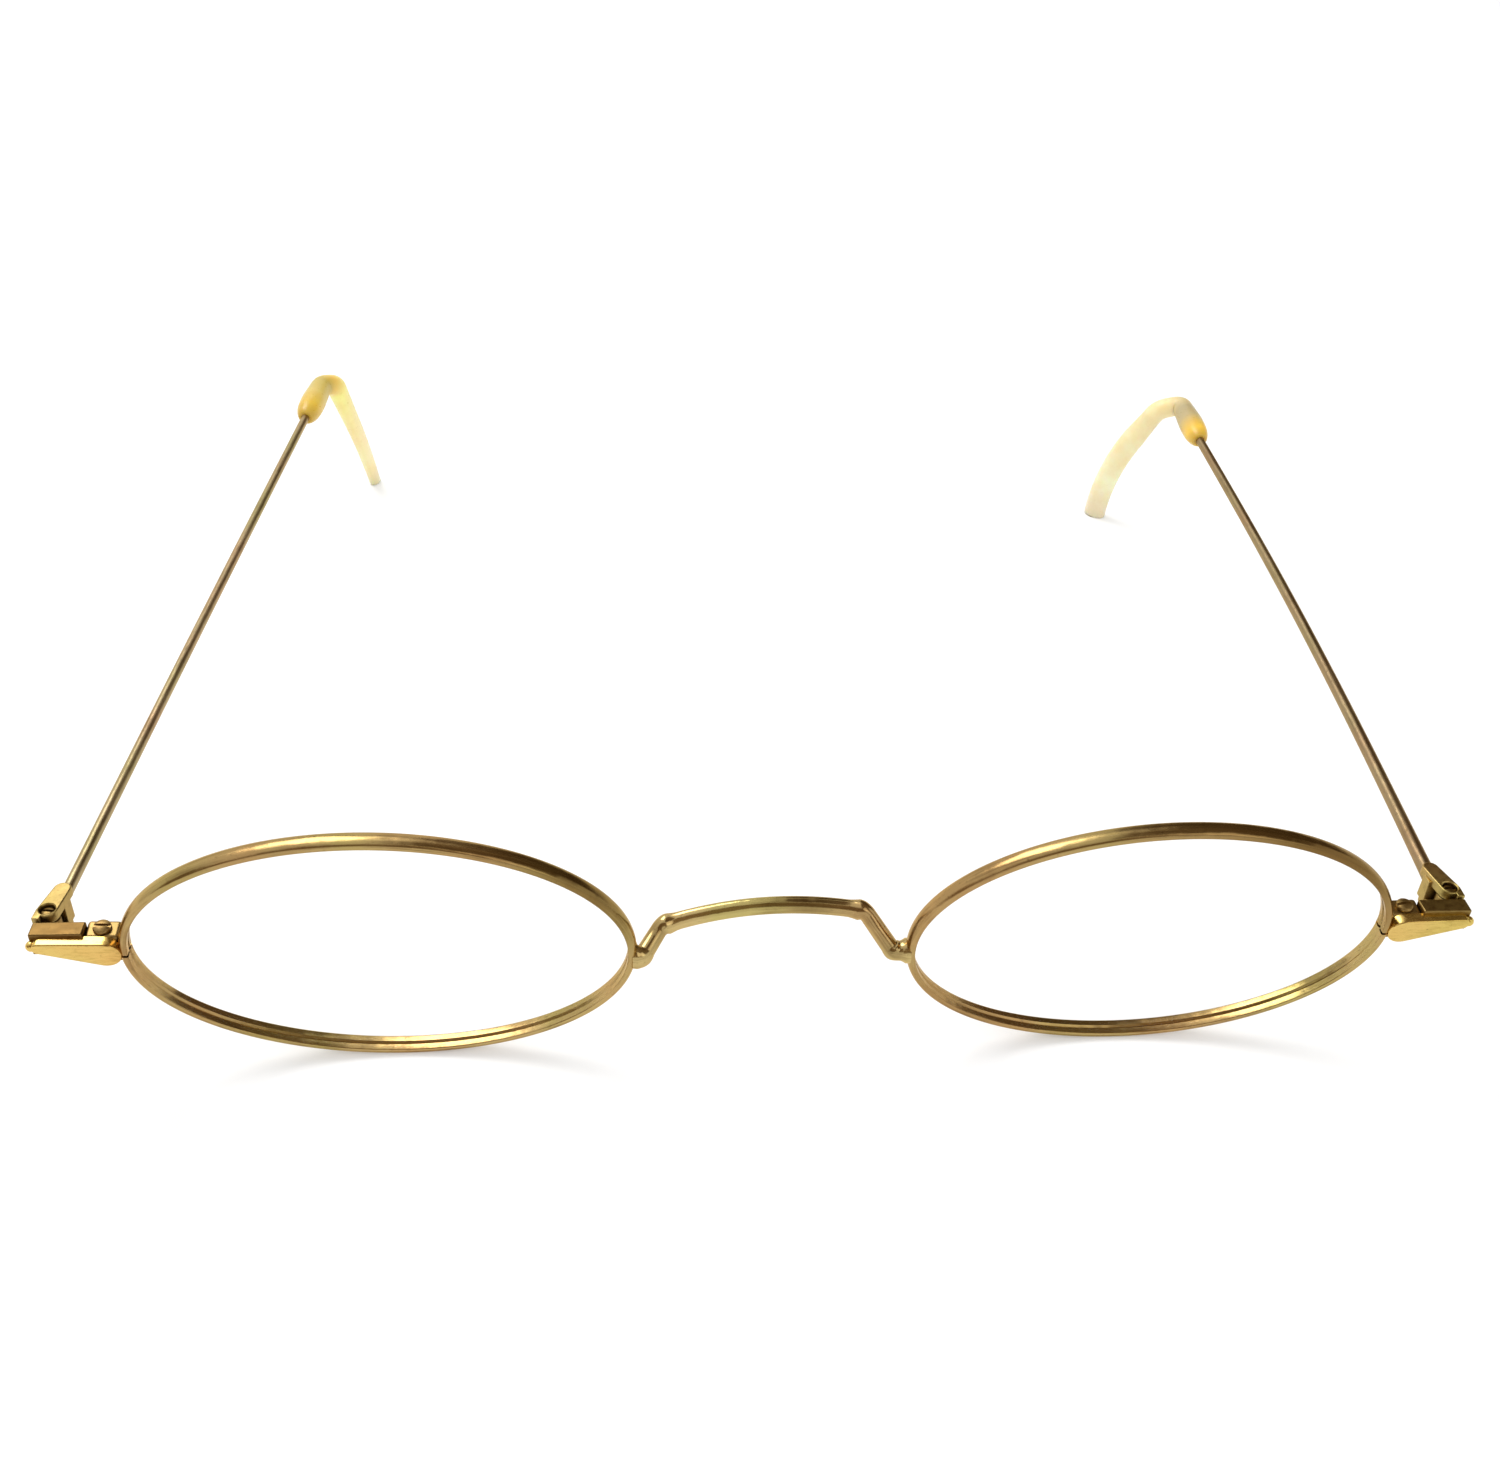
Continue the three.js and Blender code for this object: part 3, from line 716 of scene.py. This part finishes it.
def material(name):
    """A new material, the inputs of its shader, and a helper that adds nodes to it."""
    made = bpy.data.materials.new(name)
    made.use_nodes = True
    tree = made.node_tree
    return made, tree.nodes["Principled BSDF"].inputs, node_maker(tree)


def attribute(node, name):
    return node("ShaderNodeAttribute", {"attribute_name": name}).outputs


def object_place(node):
    return node("ShaderNodeTexCoord").outputs["Object"]


def noise(node, place, scale, detail, roughness):
    made = node(
        "ShaderNodeTexNoise", Vector=place, Scale=scale, Detail=detail, Roughness=roughness
    )
    return made.outputs["Fac"]


def ramp(node, fac, stops):
    made = node("ShaderNodeValToRGB", Fac=fac)
    elements = made.color_ramp.elements
    while len(elements) < len(stops):
        elements.new(1)
    for element, (position, colour) in zip(elements, stops):
        element.position = position
        element.color = (*colour, 1)
    return made.outputs["Color"]


def rescaled(node, value, source, target):
    """A value's range spread over another range, and held at its ends."""
    ends = ("From Min", "From Max", "To Min", "To Max")
    ranges = dict(zip(ends, (*source, *target)))
    return node("ShaderNodeMapRange", Value=value, **ranges).outputs["Result"]


def maths(node, operation, first, second):
    made = node("ShaderNodeMath", {"operation": operation})
    plug(made.inputs[0], first)
    plug(made.inputs[1], second)
    return made.outputs[0]


def blended(node, factor, first, second, blend="MIX"):
    """Two colours, mixed or multiplied by a factor."""
    made = node("ShaderNodeMix", {"data_type": "RGBA", "blend_type": blend}, Factor=factor)
    plug(made.inputs[MIX_FIRST], first)
    plug(made.inputs[MIX_SECOND], second)
    return made.outputs[MIX_RESULT]


def gilt(name, bright, dull, polish, corner_shade, grain=None, alone=True):
    """Gold-tone plating: dull, olive and rosy stretches, tarnish and painted shade, grime specks,
    painted shade in corners and fine marks.

    The marks follow the grain, or where there is none, the way that the wire was drawn. The painted
    shade in corners comes from the piece alone, or also from where it meets its neighbours.
    """
    made, shader, node = material(name)
    place = object_place(node)
    if grain:
        lines = node("ShaderNodeMapping", Vector=place, Scale=grain).outputs
    else:
        lines = attribute(node, "run")
    marks = noise(node, lines["Vector"], scale=1, detail=4, roughness=0.6)
    patches = noise(node, place, PATCH_SCALE, detail=6, roughness=0.6)
    blotches = maths(node, "ADD", patches, marks)
    plating = ramp(node, blotches, [(0.74, dull), (1, bright)])
    drift = noise(node, place, DRIFT_SCALE, detail=3, roughness=0.5)
    cast = ramp(node, drift, [(0.36, OLIVE), (0.5, WHITE), (0.64, ROSY)])
    colour = blended(node, 1, plating, cast, "MULTIPLY")
    # Tarnish and painted shade: dark brown as deep as each point was noted
    colour = blended(node, attribute(node, "tarnish")["Fac"], colour, (*TARNISH_AND_SHADE, 1))
    dots = noise(node, place, SPECK_SCALE, detail=3, roughness=0.6)
    specks = rescaled(node, dots, (0.62, 0.78), (0, 0.55))
    colour = blended(node, specks, colour, (*GRIME_AND_SHADE, 1))
    # Painted shade: ambient occlusion darkens the plating to dark brown in the piece's corners and
    # creases
    reach = {"samples": 8, "only_local": alone}
    corners = node("ShaderNodeAmbientOcclusion", reach, Distance=PAINTED_SHADE_REACH).outputs["AO"]
    painted_shade = rescaled(node, corners, (0.25, 0.75), (corner_shade, 0))
    plug(shader["Base Color"], blended(node, painted_shade, colour, (*GRIME_AND_SHADE, 1)))
    plug(shader["Roughness"], rescaled(node, marks, (0.3, 0.7), polish))
    waves = noise(node, place, WAVE_SCALE, detail=2, roughness=0.5)
    swell = node("ShaderNodeBump", Height=waves, Strength=0.4, Distance=WAVE_HEIGHT)
    fine = node("ShaderNodeBump", Height=marks, Strength=0.12, Distance=MARK_HEIGHT)
    plug(fine.inputs["Normal"], swell.outputs["Normal"])
    plug(shader["Normal"], fine.outputs["Normal"])
    plug(shader["Metallic"], 1)
    plug(shader["Specular Tint"], (*GRAZING, 1))
    return made


def ivory(name, stops):
    """Translucent ivory plastic, deep yellow where the metal shows through and paler beyond."""
    made, shader, node = material(name)
    place = object_place(node)
    colour = ramp(node, attribute(node, "along")["Fac"], stops)
    clouds = noise(node, place, CLOUD_SCALE, detail=4, roughness=0.6)
    tint = ramp(node, clouds, [(0.35, CLOUDED), (0.65, WHITE)])
    plug(shader["Base Color"], blended(node, 1, colour, tint, "MULTIPLY"))
    scuffs = noise(node, place, SCUFF_SCALE, detail=3, roughness=0.55)
    plug(shader["Roughness"], rescaled(node, scuffs, (0.3, 0.7), (0.26, 0.42)))
    bump = node("ShaderNodeBump", Height=clouds, Strength=0.15, Distance=CLOUD_HEIGHT)
    plug(shader["Normal"], bump.outputs["Normal"])
    plug(shader["Subsurface Weight"], IVORY_GLOW)
    plug(shader["Subsurface Radius"], IVORY_GLOW_RADIUS)
    plug(shader["Subsurface Scale"], IVORY_GLOW_REACH)
    plug(shader["IOR"], IVORY_IOR)
    return made


def clear(name):
    """Clear lens: the little light that it holds back, and the faintest smears in its polish."""
    made, shader, node = material(name)
    smears = noise(node, object_place(node), SMEAR_SCALE, detail=5, roughness=0.6)
    plug(shader["Roughness"], rescaled(node, smears, (0.3, 0.8), (0.02, 0.09)))
    plug(shader["Base Color"], (*LENS_TINT, 1))
    plug(shader["Alpha"], LENS_COVER)
    plug(shader["IOR"], LENS_IOR)
    return made


gilts = {name: gilt(f"gilt_{name}", **finish) for name, finish in FINISHES.items()}
ivories = {name: ivory(f"ivory_{name}", stops) for name, stops in IVORY.items()}
glass = clear("clear_lens")


def piece(name, obj, place, body, look, nodes=()):
    """Puts a solid in place as a named piece of the part."""
    moved(obj, METRES @ place)
    obj.name = name
    obj.data.name = name
    obj.data.materials.clear()
    obj.data.materials.append(look)
    obj.data.shade_smooth()
    obj.data.set_sharp_from_angle(angle=SMOOTH_ANGLE)
    normals = obj.modifiers.new("normals", "WEIGHTED_NORMAL")
    normals.keep_sharp = True
    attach(obj, body)
    if nodes:
        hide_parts(*nodes)


# Front

def eyewire_section():
    """The eyewire's section, outwards and backwards, and which of its points is in the groove."""
    half, deep = RIM_THICKNESS / 2, RIM_DEPTH / 2
    section = []

    def inner_corner(centre, first):
        for k in range(EDGE_STEPS + 1):
            turn = first + math.pi / 2 * k / EDGE_STEPS
            out = RIM_EDGE - half + RIM_EDGE * math.cos(turn)
            section.append((out, centre + RIM_EDGE * math.sin(turn)))

    for k in range(SECTION_STEPS + 1):
        turn = math.pi * (k / SECTION_STEPS - 0.5)
        section.append((half * math.cos(turn), deep * math.sin(turn)))
    inner_corner(deep - RIM_EDGE, math.pi / 2)
    open_half = OPEN_GROOVE_WIDTH / 2
    groove = len(section) + 1
    section += [(-half, open_half), (OPEN_GROOVE_DEPTH - half, 0), (-half, -open_half)]
    inner_corner(RIM_EDGE - deep, math.pi)
    return section, groove


def eyewire(patches):
    """An oval of grooved wire, split at its temple side."""
    section, groove = eyewire_section()
    start = math.asin(RIM_SPLIT / 2 / rim_half_height)
    rings = []
    depths = []
    for k in range(RIM_STEPS + 1):
        turn = start + (2 * math.pi - 2 * start) * k / RIM_STEPS
        cosine, sine = math.cos(turn), math.sin(turn)
        origin = Vector((rim_half_width * cosine, 0, rim_half_height * sine))
        out = Vector((rim_half_height * cosine, 0, rim_half_width * sine)).normalized()
        rings.append([origin + out * u + Vector((0, v, 0)) for u, v in section])
        # Tarnish and painted shade, in patches round the eyewire where its metal would mirror dark
        # surroundings
        depth = tarnish_and_shade_at(math.degrees(turn), patches)
        for j in range(len(section)):
            depths.append(min(depth * (GROOVE_DEEPENING if j == groove else 1), 1))
    return shaded_and_stained(drawn(loft(rings), rings), depths)


def lens():
    """A crowned disc with a bevelled rim."""
    half = LENS_THICKNESS / 2

    def ring(inset, share, y):
        wide = (LENS_WIDTH / 2 - inset) * share
        high = (LENS_HEIGHT / 2 - inset) * share
        return [Vector((wide * math.cos(t), y, high * math.sin(t))) for t in circle(LENS_SIDES)]

    crown = [(share, -LENS_CROWN * (1 - share * share)) for share in LENS_RINGS]
    rings = [ring(GROOVE_DEPTH, share, half + sag) for share, sag in crown]
    rings.append(ring(GROOVE_DEPTH, 1, GROOVE_WIDTH / 2))
    rings.append(ring(0, 1, 0))
    rings.append(ring(GROOVE_DEPTH, 1, -GROOVE_WIDTH / 2))
    rings += [ring(GROOVE_DEPTH, share, sag - half) for share, sag in reversed(crown)]
    return loft(rings)


def slotted_screw(shank, head, head_height, reach):
    """A slotted screw with a domed head, head up, with the underside of its head at height 0."""
    profile = [
        (AXIS_RADIUS, -reach),
        (shank / 2 - SCREW_POINT, -reach),
        (shank / 2, SCREW_POINT - reach),
        (shank / 2, 0),
        (head / 2, 0),
    ]
    dome = head_height * DOME_SHARE
    for k in range(ARC_STEPS + 1):
        turn = math.pi / 2 * k / ARC_STEPS
        radius = head / 2 * max(math.cos(turn), SCREW_POLE)
        profile.append((radius, head_height - dome + dome * math.sin(turn)))
    low = (-head, -SLOT_WIDTH / 2, head_height - SLOT_DEPTH)
    high = (head, SLOT_WIDTH / 2, 2 * head_height)
    return carve(lathe(profile), removed=[block(low, high, SLOT_EDGE)])


def lock_half(sign):
    """The upper or lower block that a rim screw passes through."""
    heights = sorted((sign * RIM_SPLIT / 2, sign * lock_top))
    low = (rim_outer - LOCK_LAP, lock_front, heights[0])
    high = (lock_outer, lock_back, heights[1])
    hole = bore(LOCK_SCREW / 2 + RUNNING_FIT, 2 * lock_top)
    moved(hole, Matrix.Translation((lock_screw_x, lock_screw_y, 0)))
    return carve(block(low, high, LOCK_EDGE), removed=[hole])


def lock_screw():
    reach = LOCK_HEIGHT + LOCK_SCREW_REACH
    screw = slotted_screw(LOCK_SCREW, LOCK_HEAD, LOCK_HEAD_HEIGHT, reach)
    return moved(screw, Matrix.Translation((lock_screw_x, lock_screw_y, lock_top + JOINT_GAP)))


def end_plate():
    """The leaf-shaped plate in front of a rim lock."""
    big, tip = PLATE_HEIGHT / 2, PLATE_TIP / 2
    big_at = (plate_inner + big, PLATE_LIFT)
    tip_at = (plate_inner + PLATE_LENGTH - tip, PLATE_TIP_LIFT)
    bottom, top = -plate_back - PLATE_BACKING, -plate_front
    plate = leaf(big_at, big, tip_at, tip, bottom, top, PLATE_BEVEL)
    return moved(plate, Matrix.Rotation(math.pi / 2, 4, "X"))


def nub():
    """The small ball at the outer end of a plate."""
    radius = NUB_SIZE / 2
    profile = []
    for k in range(2 * ARC_STEPS + 1):
        turn = math.pi * (k / (2 * ARC_STEPS) - 0.5)
        profile.append((radius * max(math.cos(turn), NUB_POLE), radius * math.sin(turn)))
    at = (plate_inner + PLATE_LENGTH, (plate_front + plate_back) / 2, PLATE_TIP_LIFT)
    return moved(lathe(profile), Matrix.Translation(at))


def hinge_bar():
    """The bar behind a plate, with the middle knuckle of the hinge."""
    inner = lock_outer + 2 * FACE_GAP - BAR_REACH - rim_outer - HINGE_OUT
    low = (inner, bar_front, BAR_LIFT - BAR_HEIGHT / 2)
    high = (BAR_OVERHANG, bar_back, BAR_LIFT + BAR_HEIGHT / 2)
    half = KNUCKLE_HEIGHT / 2
    arm_low = (-ARM_WIDTH / 2, bar_back - BAR_SINK, -half)
    arm = block(arm_low, (ARM_WIDTH / 2, 0, half), ARM_EDGE)
    knuckle = lathe(
        [
            (knuckle_radius - KNUCKLE_EDGE, -half),
            (knuckle_radius, KNUCKLE_EDGE - half),
            (knuckle_radius, half - KNUCKLE_EDGE),
            (knuckle_radius - KNUCKLE_EDGE, half),
        ]
    )
    hole = bore(hinge_bore, 2 * half)
    return carve(block(low, high, BAR_EDGE), added=[arm, knuckle], removed=[hole])


def bridge():
    """The saddle bridge: a wire with a flattened crest, swollen where it is bent and soldered."""
    foot_z = -rim_half_width * math.sin(UPSWEEP) - BRIDGE_DROP

    def crest_end(sign):
        x = sign * CREST_SPAN / 2 + CREST_SHIFT
        return Vector((x, BRIDGE_SETBACK, foot_z + BRIDGE_RISE + sign * CREST_TILT))

    top = (crest_end(1) + crest_end(-1)) / 2 + leg_run * (2 * CREST_ARCH)
    top.x = CREST_SHIFT
    crest_ease = (crest_end(1) - top).length - BRIDGE_BEND
    rim_x = RIM_GAP / 2 + RIM_THICKNESS / 2
    left_foot = Vector((RIM_GAP / 2 - LEFT_BRIDGE_STUB, 0, foot_z))
    right_foot = Vector((RIGHT_BRIDGE_STUB - RIM_GAP / 2, 0, foot_z))
    path = bent_path(
        [
            (Vector((rim_x, 0, foot_z)), 0, 0),
            (left_foot, BRIDGE_BEND, BEND_STEPS),
            (crest_end(1), BRIDGE_BEND, BEND_STEPS),
            (top, crest_ease, CREST_STEPS),
            (crest_end(-1), BRIDGE_BEND, BEND_STEPS),
            (right_foot, BRIDGE_BEND, BEND_STEPS),
            (Vector((-rim_x, 0, foot_z)), 0, 0),
        ]
    )
    (first, first_run), (last, last_run) = path[0], path[-1]
    stub = [first.lerp(path[1][0], k / BEND_STEPS) for k in range(BEND_STEPS)]
    far_stub = [path[-2][0].lerp(last, k / BEND_STEPS) for k in range(1, BEND_STEPS + 1)]
    path = [(p, first_run) for p in stub] + path[1:-1] + [(p, last_run) for p in far_stub]
    sections = []
    depths = []
    for point, _ in path:
        out = abs(point.x - CREST_SHIFT)
        leg = smoothstep(out, CREST_SPAN / 2 - 2 * BRIDGE_BEND, CREST_SPAN / 2)
        rim_room = max(RIM_GAP / 2 - abs(point.x), 0)
        foot_room = min((point - left_foot).length, (point - right_foot).length)
        swell = SOLDER_FLARE * max(1 - rim_room / SOLDER_LENGTH, 0) ** 2
        swell += SHOULDER_SIZE * hump(out - CREST_SPAN / 2 + SHOULDER_INSET, SHOULDER_LENGTH)
        swell += LEG_SWELL * leg
        swell += FOOT_SIZE * hump(foot_room, FOOT_LENGTH)
        thick = mix(CREST_THICKNESS, BRIDGE_WIRE, leg) / 2 + swell
        wide = mix(CREST_WIDTH, BRIDGE_WIRE, leg) / 2 + swell
        sections.append((thick, wide, 0))
        # Tarnish and painted shade across the bridge
        depths += [tarnish_and_shade_at(point.x, BRIDGE_TARNISH_AND_SHADE)] * WIRE_SIDES
    across = Vector((1, 0, 0)).cross(leg_run)
    return shaded_and_stained(sweep(path, across, sections, WIRE_SIDES), depths)


# Temples

def temple_hinge(lead):
    """The hinge fork: an upper and a lower leaf, the web between them, and the stop heel."""
    end_x = wire_start.x - lead
    end_at = (end_x, LEAF_LENGTH)
    upper = leaf((0, 0), knuckle_radius, end_at, LEAF_END / 2, leaf_bottom, leaf_top, LEAF_EDGE)
    low_end = web_width / 2
    low_at = (end_x, web_back - low_end)
    lower = leaf((0, 0), knuckle_radius, low_at, low_end, -leaf_top, -leaf_bottom, LEAF_EDGE)
    lap = LEAF_THICKNESS / 2
    web_low = (end_x - low_end, web_front, -leaf_bottom - lap)
    web = block(web_low, (end_x + low_end, web_back, leaf_bottom + lap), WEB_EDGE)
    heel_low = (knuckle_radius - HEEL_WIDTH, bar_back + HEEL_GAP, leaf_bottom)
    heel = block(heel_low, (knuckle_radius, 0, leaf_top), HEEL_EDGE)
    sink = HINGE_HEAD / 2 + RUNNING_FIT
    hole = lathe(
        [
            (hinge_bore, -2 * leaf_top),
            (hinge_bore, screw_seat),
            (sink, screw_seat),
            (sink, leaf_top - SINK_CHAMFER_DEPTH),
            (sink + SINK_CHAMFER, leaf_top + SINK_OVERCUT),
            (sink + SINK_CHAMFER, 2 * leaf_top),
        ]
    )
    return carve(upper, added=[lower, web, heel], removed=[hole])


def hinge_screw():
    under = screw_seat + JOINT_GAP
    reach = under + leaf_top + HINGE_TAIL
    screw = slotted_screw(HINGE_SCREW, HINGE_HEAD, HINGE_HEAD_HEIGHT, reach)
    return moved(screw, Matrix.Translation((0, 0, under)))


def temple_wire(mouth, lead, shift, bow, flare):
    """The wire from the hinge to its socket in the tip."""
    even, taper, close = flare
    start, end = web_front + WIRE_SEAT, mouth + TIP_SOCKET
    path = []
    sections = []
    for k in range(WIRE_STEPS + 1):
        distance = mix(start, end, k / WIRE_STEPS)
        share = min(distance / mouth, 1)
        aside = Vector((bow * math.sin(math.pi * share) - mix(lead, shift, share), 0, 0))
        path.append((wire_start + wire_run * distance + aside, wire_run))
        size = TEMPLE_WIRE + even + taper * (1 - share) + close * math.exp(-distance / WIRE_FLARE)
        sections.append((size / 2, size / 2, 0))
    return sweep(path, Vector((1, 0, 0)), sections, WIRE_SIDES)


def cut_level(obj, place):
    """Cuts a solid off level below a place, and rounds the edge of the cut."""
    work = bmesh.new()
    work.from_mesh(obj.data)
    cut = bmesh.ops.bisect_plane(
        work,
        geom=work.verts[:] + work.edges[:] + work.faces[:],
        plane_co=place,
        plane_no=(0, 0, -1),
        clear_outer=True,
    )
    edges = [e for e in cut["geom_cut"] if isinstance(e, bmesh.types.BMEdge)]
    bmesh.ops.edgeloop_fill(work, edges=edges)
    rounded(work, edges, TIP_FOOT_BEVEL)
    work.to_mesh(obj.data)
    work.free()
    return obj


def temple_tip(mouth, shift, stand, straight, turn, ease, waist, bend, foot, twist, taper):
    """The plastic tip, which notes how far each of its points lies along it."""

    def along(distance):
        return wire_start + wire_run * (mouth + distance) - Vector((shift, 0, 0))

    corner = along(straight)
    second = corner + turn
    ground = Vector((wire_start.x - foot[0], mouth + foot[1], -stand))
    bent = second.lerp(ground, waist) + bend
    ending = ground + (ground - bent).normalized() * TIP_WIDTH
    steps = 2 * BEND_STEPS
    sleeve = straight / 2
    path = [(along(sleeve * (k / steps) ** 2), wire_run) for k in range(steps)]
    half = turn.length * ease
    path += bent_path(
        [
            (along(sleeve), 0, 0),
            (corner, half, BEND_STEPS),
            (second, half, BEND_STEPS),
            (bent, TIP_SWEEP, steps),
            (ending, 0, 0),
        ]
    )
    lengths = [0]
    for (a, _), (b, _) in zip(path, path[1:]):
        lengths.append(lengths[-1] + (b - a).length)
    shares = [length / lengths[-1] for length in lengths]
    sections = []
    for (point, _), share in zip(path, shares):
        distance = (point - along(0)).dot(wire_run)
        swell = math.sin(math.pi * clamp(distance / TIP_BELL_LENGTH))
        egg = max(1 - distance / TIP_EGG, 0)
        full_size = mix(TIP_NECK, TIP_BELL, swell)
        round_size = mix(TIP_MOUTH, full_size, math.sqrt(max(1 - egg * egg, 0)))
        flat = smoothstep(corner.z - point.z, 0, TIP_FLATTEN)
        slim = mix(1, taper, clamp((share - TAPER_START) / (1 - TAPER_START))) / 2
        thick = mix(round_size, TIP_THICKNESS, flat) * slim
        wide = mix(round_size, TIP_WIDTH, flat) * slim
        sections.append((thick, wide, twist * flat))
    tip = sweep(path, Vector((1, 0, 0)), sections, TIP_SIDES)
    noted(tip, "along", [share for share in shares for _ in range(TIP_SIDES)])
    return cut_level(tip, ground)


# The part

def dress_front(name, side):
    """Makes the pieces of one half of the front."""
    sign, shade_and_stains = side["sign"], side["shade_and_stains"]
    rim = rim_place(sign)

    def add(part, obj, look=gilts["joint"], slot="gilt_metal", place=rim):
        piece(f"{name}_{part}_look", obj, place, "front", look, [f"{name}_{part}"])

    add("eyewire", eyewire(side["tarnish"]), gilts["rim"])
    add("lens", lens(), glass, "clear_lens")
    # Tarnish and painted shade all over the locks and the bar
    add("rim_lock_upper", shaded_and_stained_all_over(lock_half(1), shade_and_stains["lock"]))
    add("rim_lock_lower", shaded_and_stained_all_over(lock_half(-1), shade_and_stains["lock"]))
    add("rim_screw", shaded_and_stained_all_over(lock_screw(), shade_and_stains["lock"]))
    add("end_piece", shaded_and_stained_all_over(hinge_bar(), shade_and_stains["bar"]), place=hinge_place(name, sign))
    plate = carve(end_plate(), added=[nub()])
    piece(f"{name}_end_plate_look", plate, rim, "front", gilts["plate"])


def dress_temple(name, side):
    """Makes the pieces of one temple."""
    shade_and_stains, mouth, lead, shift = (side[key] for key in ("shade_and_stains", "mouth", "lead", "shift"))
    body = f"{name}_temple"
    swung = hinge_place(name, side["sign"], side["swing"])

    def add(part, obj, look, slot="gilt_metal"):
        piece(f"{name}_{part}_look", obj, swung, body, look, [f"{name}_{part}"])

    # Tarnish and painted shade all over the hinge and the wire
    add("temple_hinge", shaded_and_stained_all_over(temple_hinge(lead), shade_and_stains["hinge"]), gilts["joint"])
    add("hinge_screw", hinge_screw(), gilts["screw"])
    wire = temple_wire(mouth, lead, shift, side["bow"], side["flare"])
    add("temple_wire", shaded_and_stained_all_over(wire, shade_and_stains["wire"]), gilts["wire"])
    tip = temple_tip(mouth, shift, hinges[body].z, **side["tip"])
    add("temple_tip", tip, ivories[name], "ivory_plastic")


for side_name, side in SIDES.items():
    dress_front(side_name, side)
    dress_temple(side_name, side)
piece("bridge_look", bridge(), front_place, "front", gilts["bridge"], nodes=["bridge"])


# Camera

def set_camera():
    """The photograph's viewpoint."""
    flat = math.cos(CAMERA_ELEVATION)
    sideways, ahead = math.sin(CAMERA_AZIMUTH), math.cos(CAMERA_AZIMUTH)
    back = Vector((sideways * flat, -ahead * flat, math.sin(CAMERA_ELEVATION)))
    level = Vector((ahead, sideways, 0))
    above = back.cross(level)
    right = level * math.cos(CAMERA_ROLL) + above * math.sin(CAMERA_ROLL)
    up = above * math.cos(CAMERA_ROLL) - level * math.sin(CAMERA_ROLL)
    eye = (middle + CAMERA_TARGET + back * CAMERA_DISTANCE) / MM_PER_METRE
    data = bpy.data.cameras.new("camera")
    data.sensor_fit = "HORIZONTAL"
    data.sensor_width = SENSOR_WIDTH
    data.lens = SENSOR_WIDTH * CAMERA_FOCUS / IMAGE_WIDTH
    data.clip_start = CLIP_START
    camera = bpy.data.objects.new("camera", data)
    camera.matrix_world = Matrix.Translation(eye) @ Matrix((right, up, back)).transposed().to_4x4()
    bpy.context.scene.collection.objects.link(camera)
    bpy.context.scene.camera = camera


set_camera()


# Studio: pale floor and surroundings, soft lamps, and flags for the metal

def seen_directly(node):
    """1 for what the camera sees straight on, in metal or through a lens."""
    rays = node("ShaderNodeLightPath").outputs
    seen = maths(node, "MAXIMUM", rays["Is Camera Ray"], rays["Is Glossy Ray"])
    return maths(node, "MAXIMUM", seen, rays["Is Transmission Ray"])


def lay_floor():
    look, shader, node = material("floor")
    plug(shader["Base Color"], (*FLOOR_COLOUR, 1))
    plug(shader["Roughness"], FLOOR_ROUGHNESS)
    plug(shader["Emission Color"], (*WHITE, 1))
    plug(shader["Emission Strength"], maths(node, "MULTIPLY", seen_directly(node), FLOOR_GLOW))
    bpy.ops.mesh.primitive_plane_add(size=FLOOR_SIZE, location=(0, 0, 0))
    floor = bpy.context.object
    floor.name = "floor"
    floor.data.materials.append(look)


def surround():
    """A white world, a little dimmer as light than as it is seen."""
    world = bpy.data.worlds.new("studio")
    bpy.context.scene.world = world
    world.use_nodes = True
    node = node_maker(world.node_tree)
    sky = world.node_tree.nodes["Background"].inputs
    plug(sky["Color"], (*WHITE, 1))
    plug(sky["Strength"], rescaled(node, seen_directly(node), (0, 1), (AMBIENT, 1)))


def aimed(at, axis):
    """The rotation that points an object's axis from a place to the middle of the studio."""
    return (Vector(STUDIO_TARGET) - Vector(at)).to_track_quat(axis, "Y").to_euler()


def softbox(name, at, size, power):
    data = bpy.data.lights.new(name, "AREA")
    data.shape = "RECTANGLE"
    data.size, data.size_y = size
    data.energy = power
    lamp = bpy.data.objects.new(name, data)
    lamp.location = at
    lamp.rotation_euler = aimed(at, "-Z")
    bpy.context.scene.collection.objects.link(lamp)


def flag(name, at, size, level):
    """A dim warm card that only polished metal shows, as a studio's black flags are used."""
    look = bpy.data.materials.new(name)
    look.use_nodes = True
    tree = look.node_tree
    tree.nodes.remove(tree.nodes["Principled BSDF"])
    glow = node_maker(tree)("ShaderNodeEmission", Color=(*FLAG_COLOUR, 1), Strength=level)
    plug(tree.nodes["Material Output"].inputs["Surface"], glow.outputs["Emission"])
    bpy.ops.mesh.primitive_plane_add(size=1, location=at)
    card = bpy.context.object
    card.name = name
    card.scale = (*size, 1)
    card.rotation_euler = aimed(at, "Z")
    card.data.materials.append(look)
    card.visible_camera = False
    card.visible_diffuse = False
    card.visible_transmission = False
    card.visible_shadow = False


lay_floor()
surround()
for lamp_name, lamp in LAMPS.items():
    softbox(lamp_name, *lamp)
for flag_name, card in FLAGS.items():
    flag(flag_name, *card)

bpy.context.scene.view_settings.view_transform = "Standard"
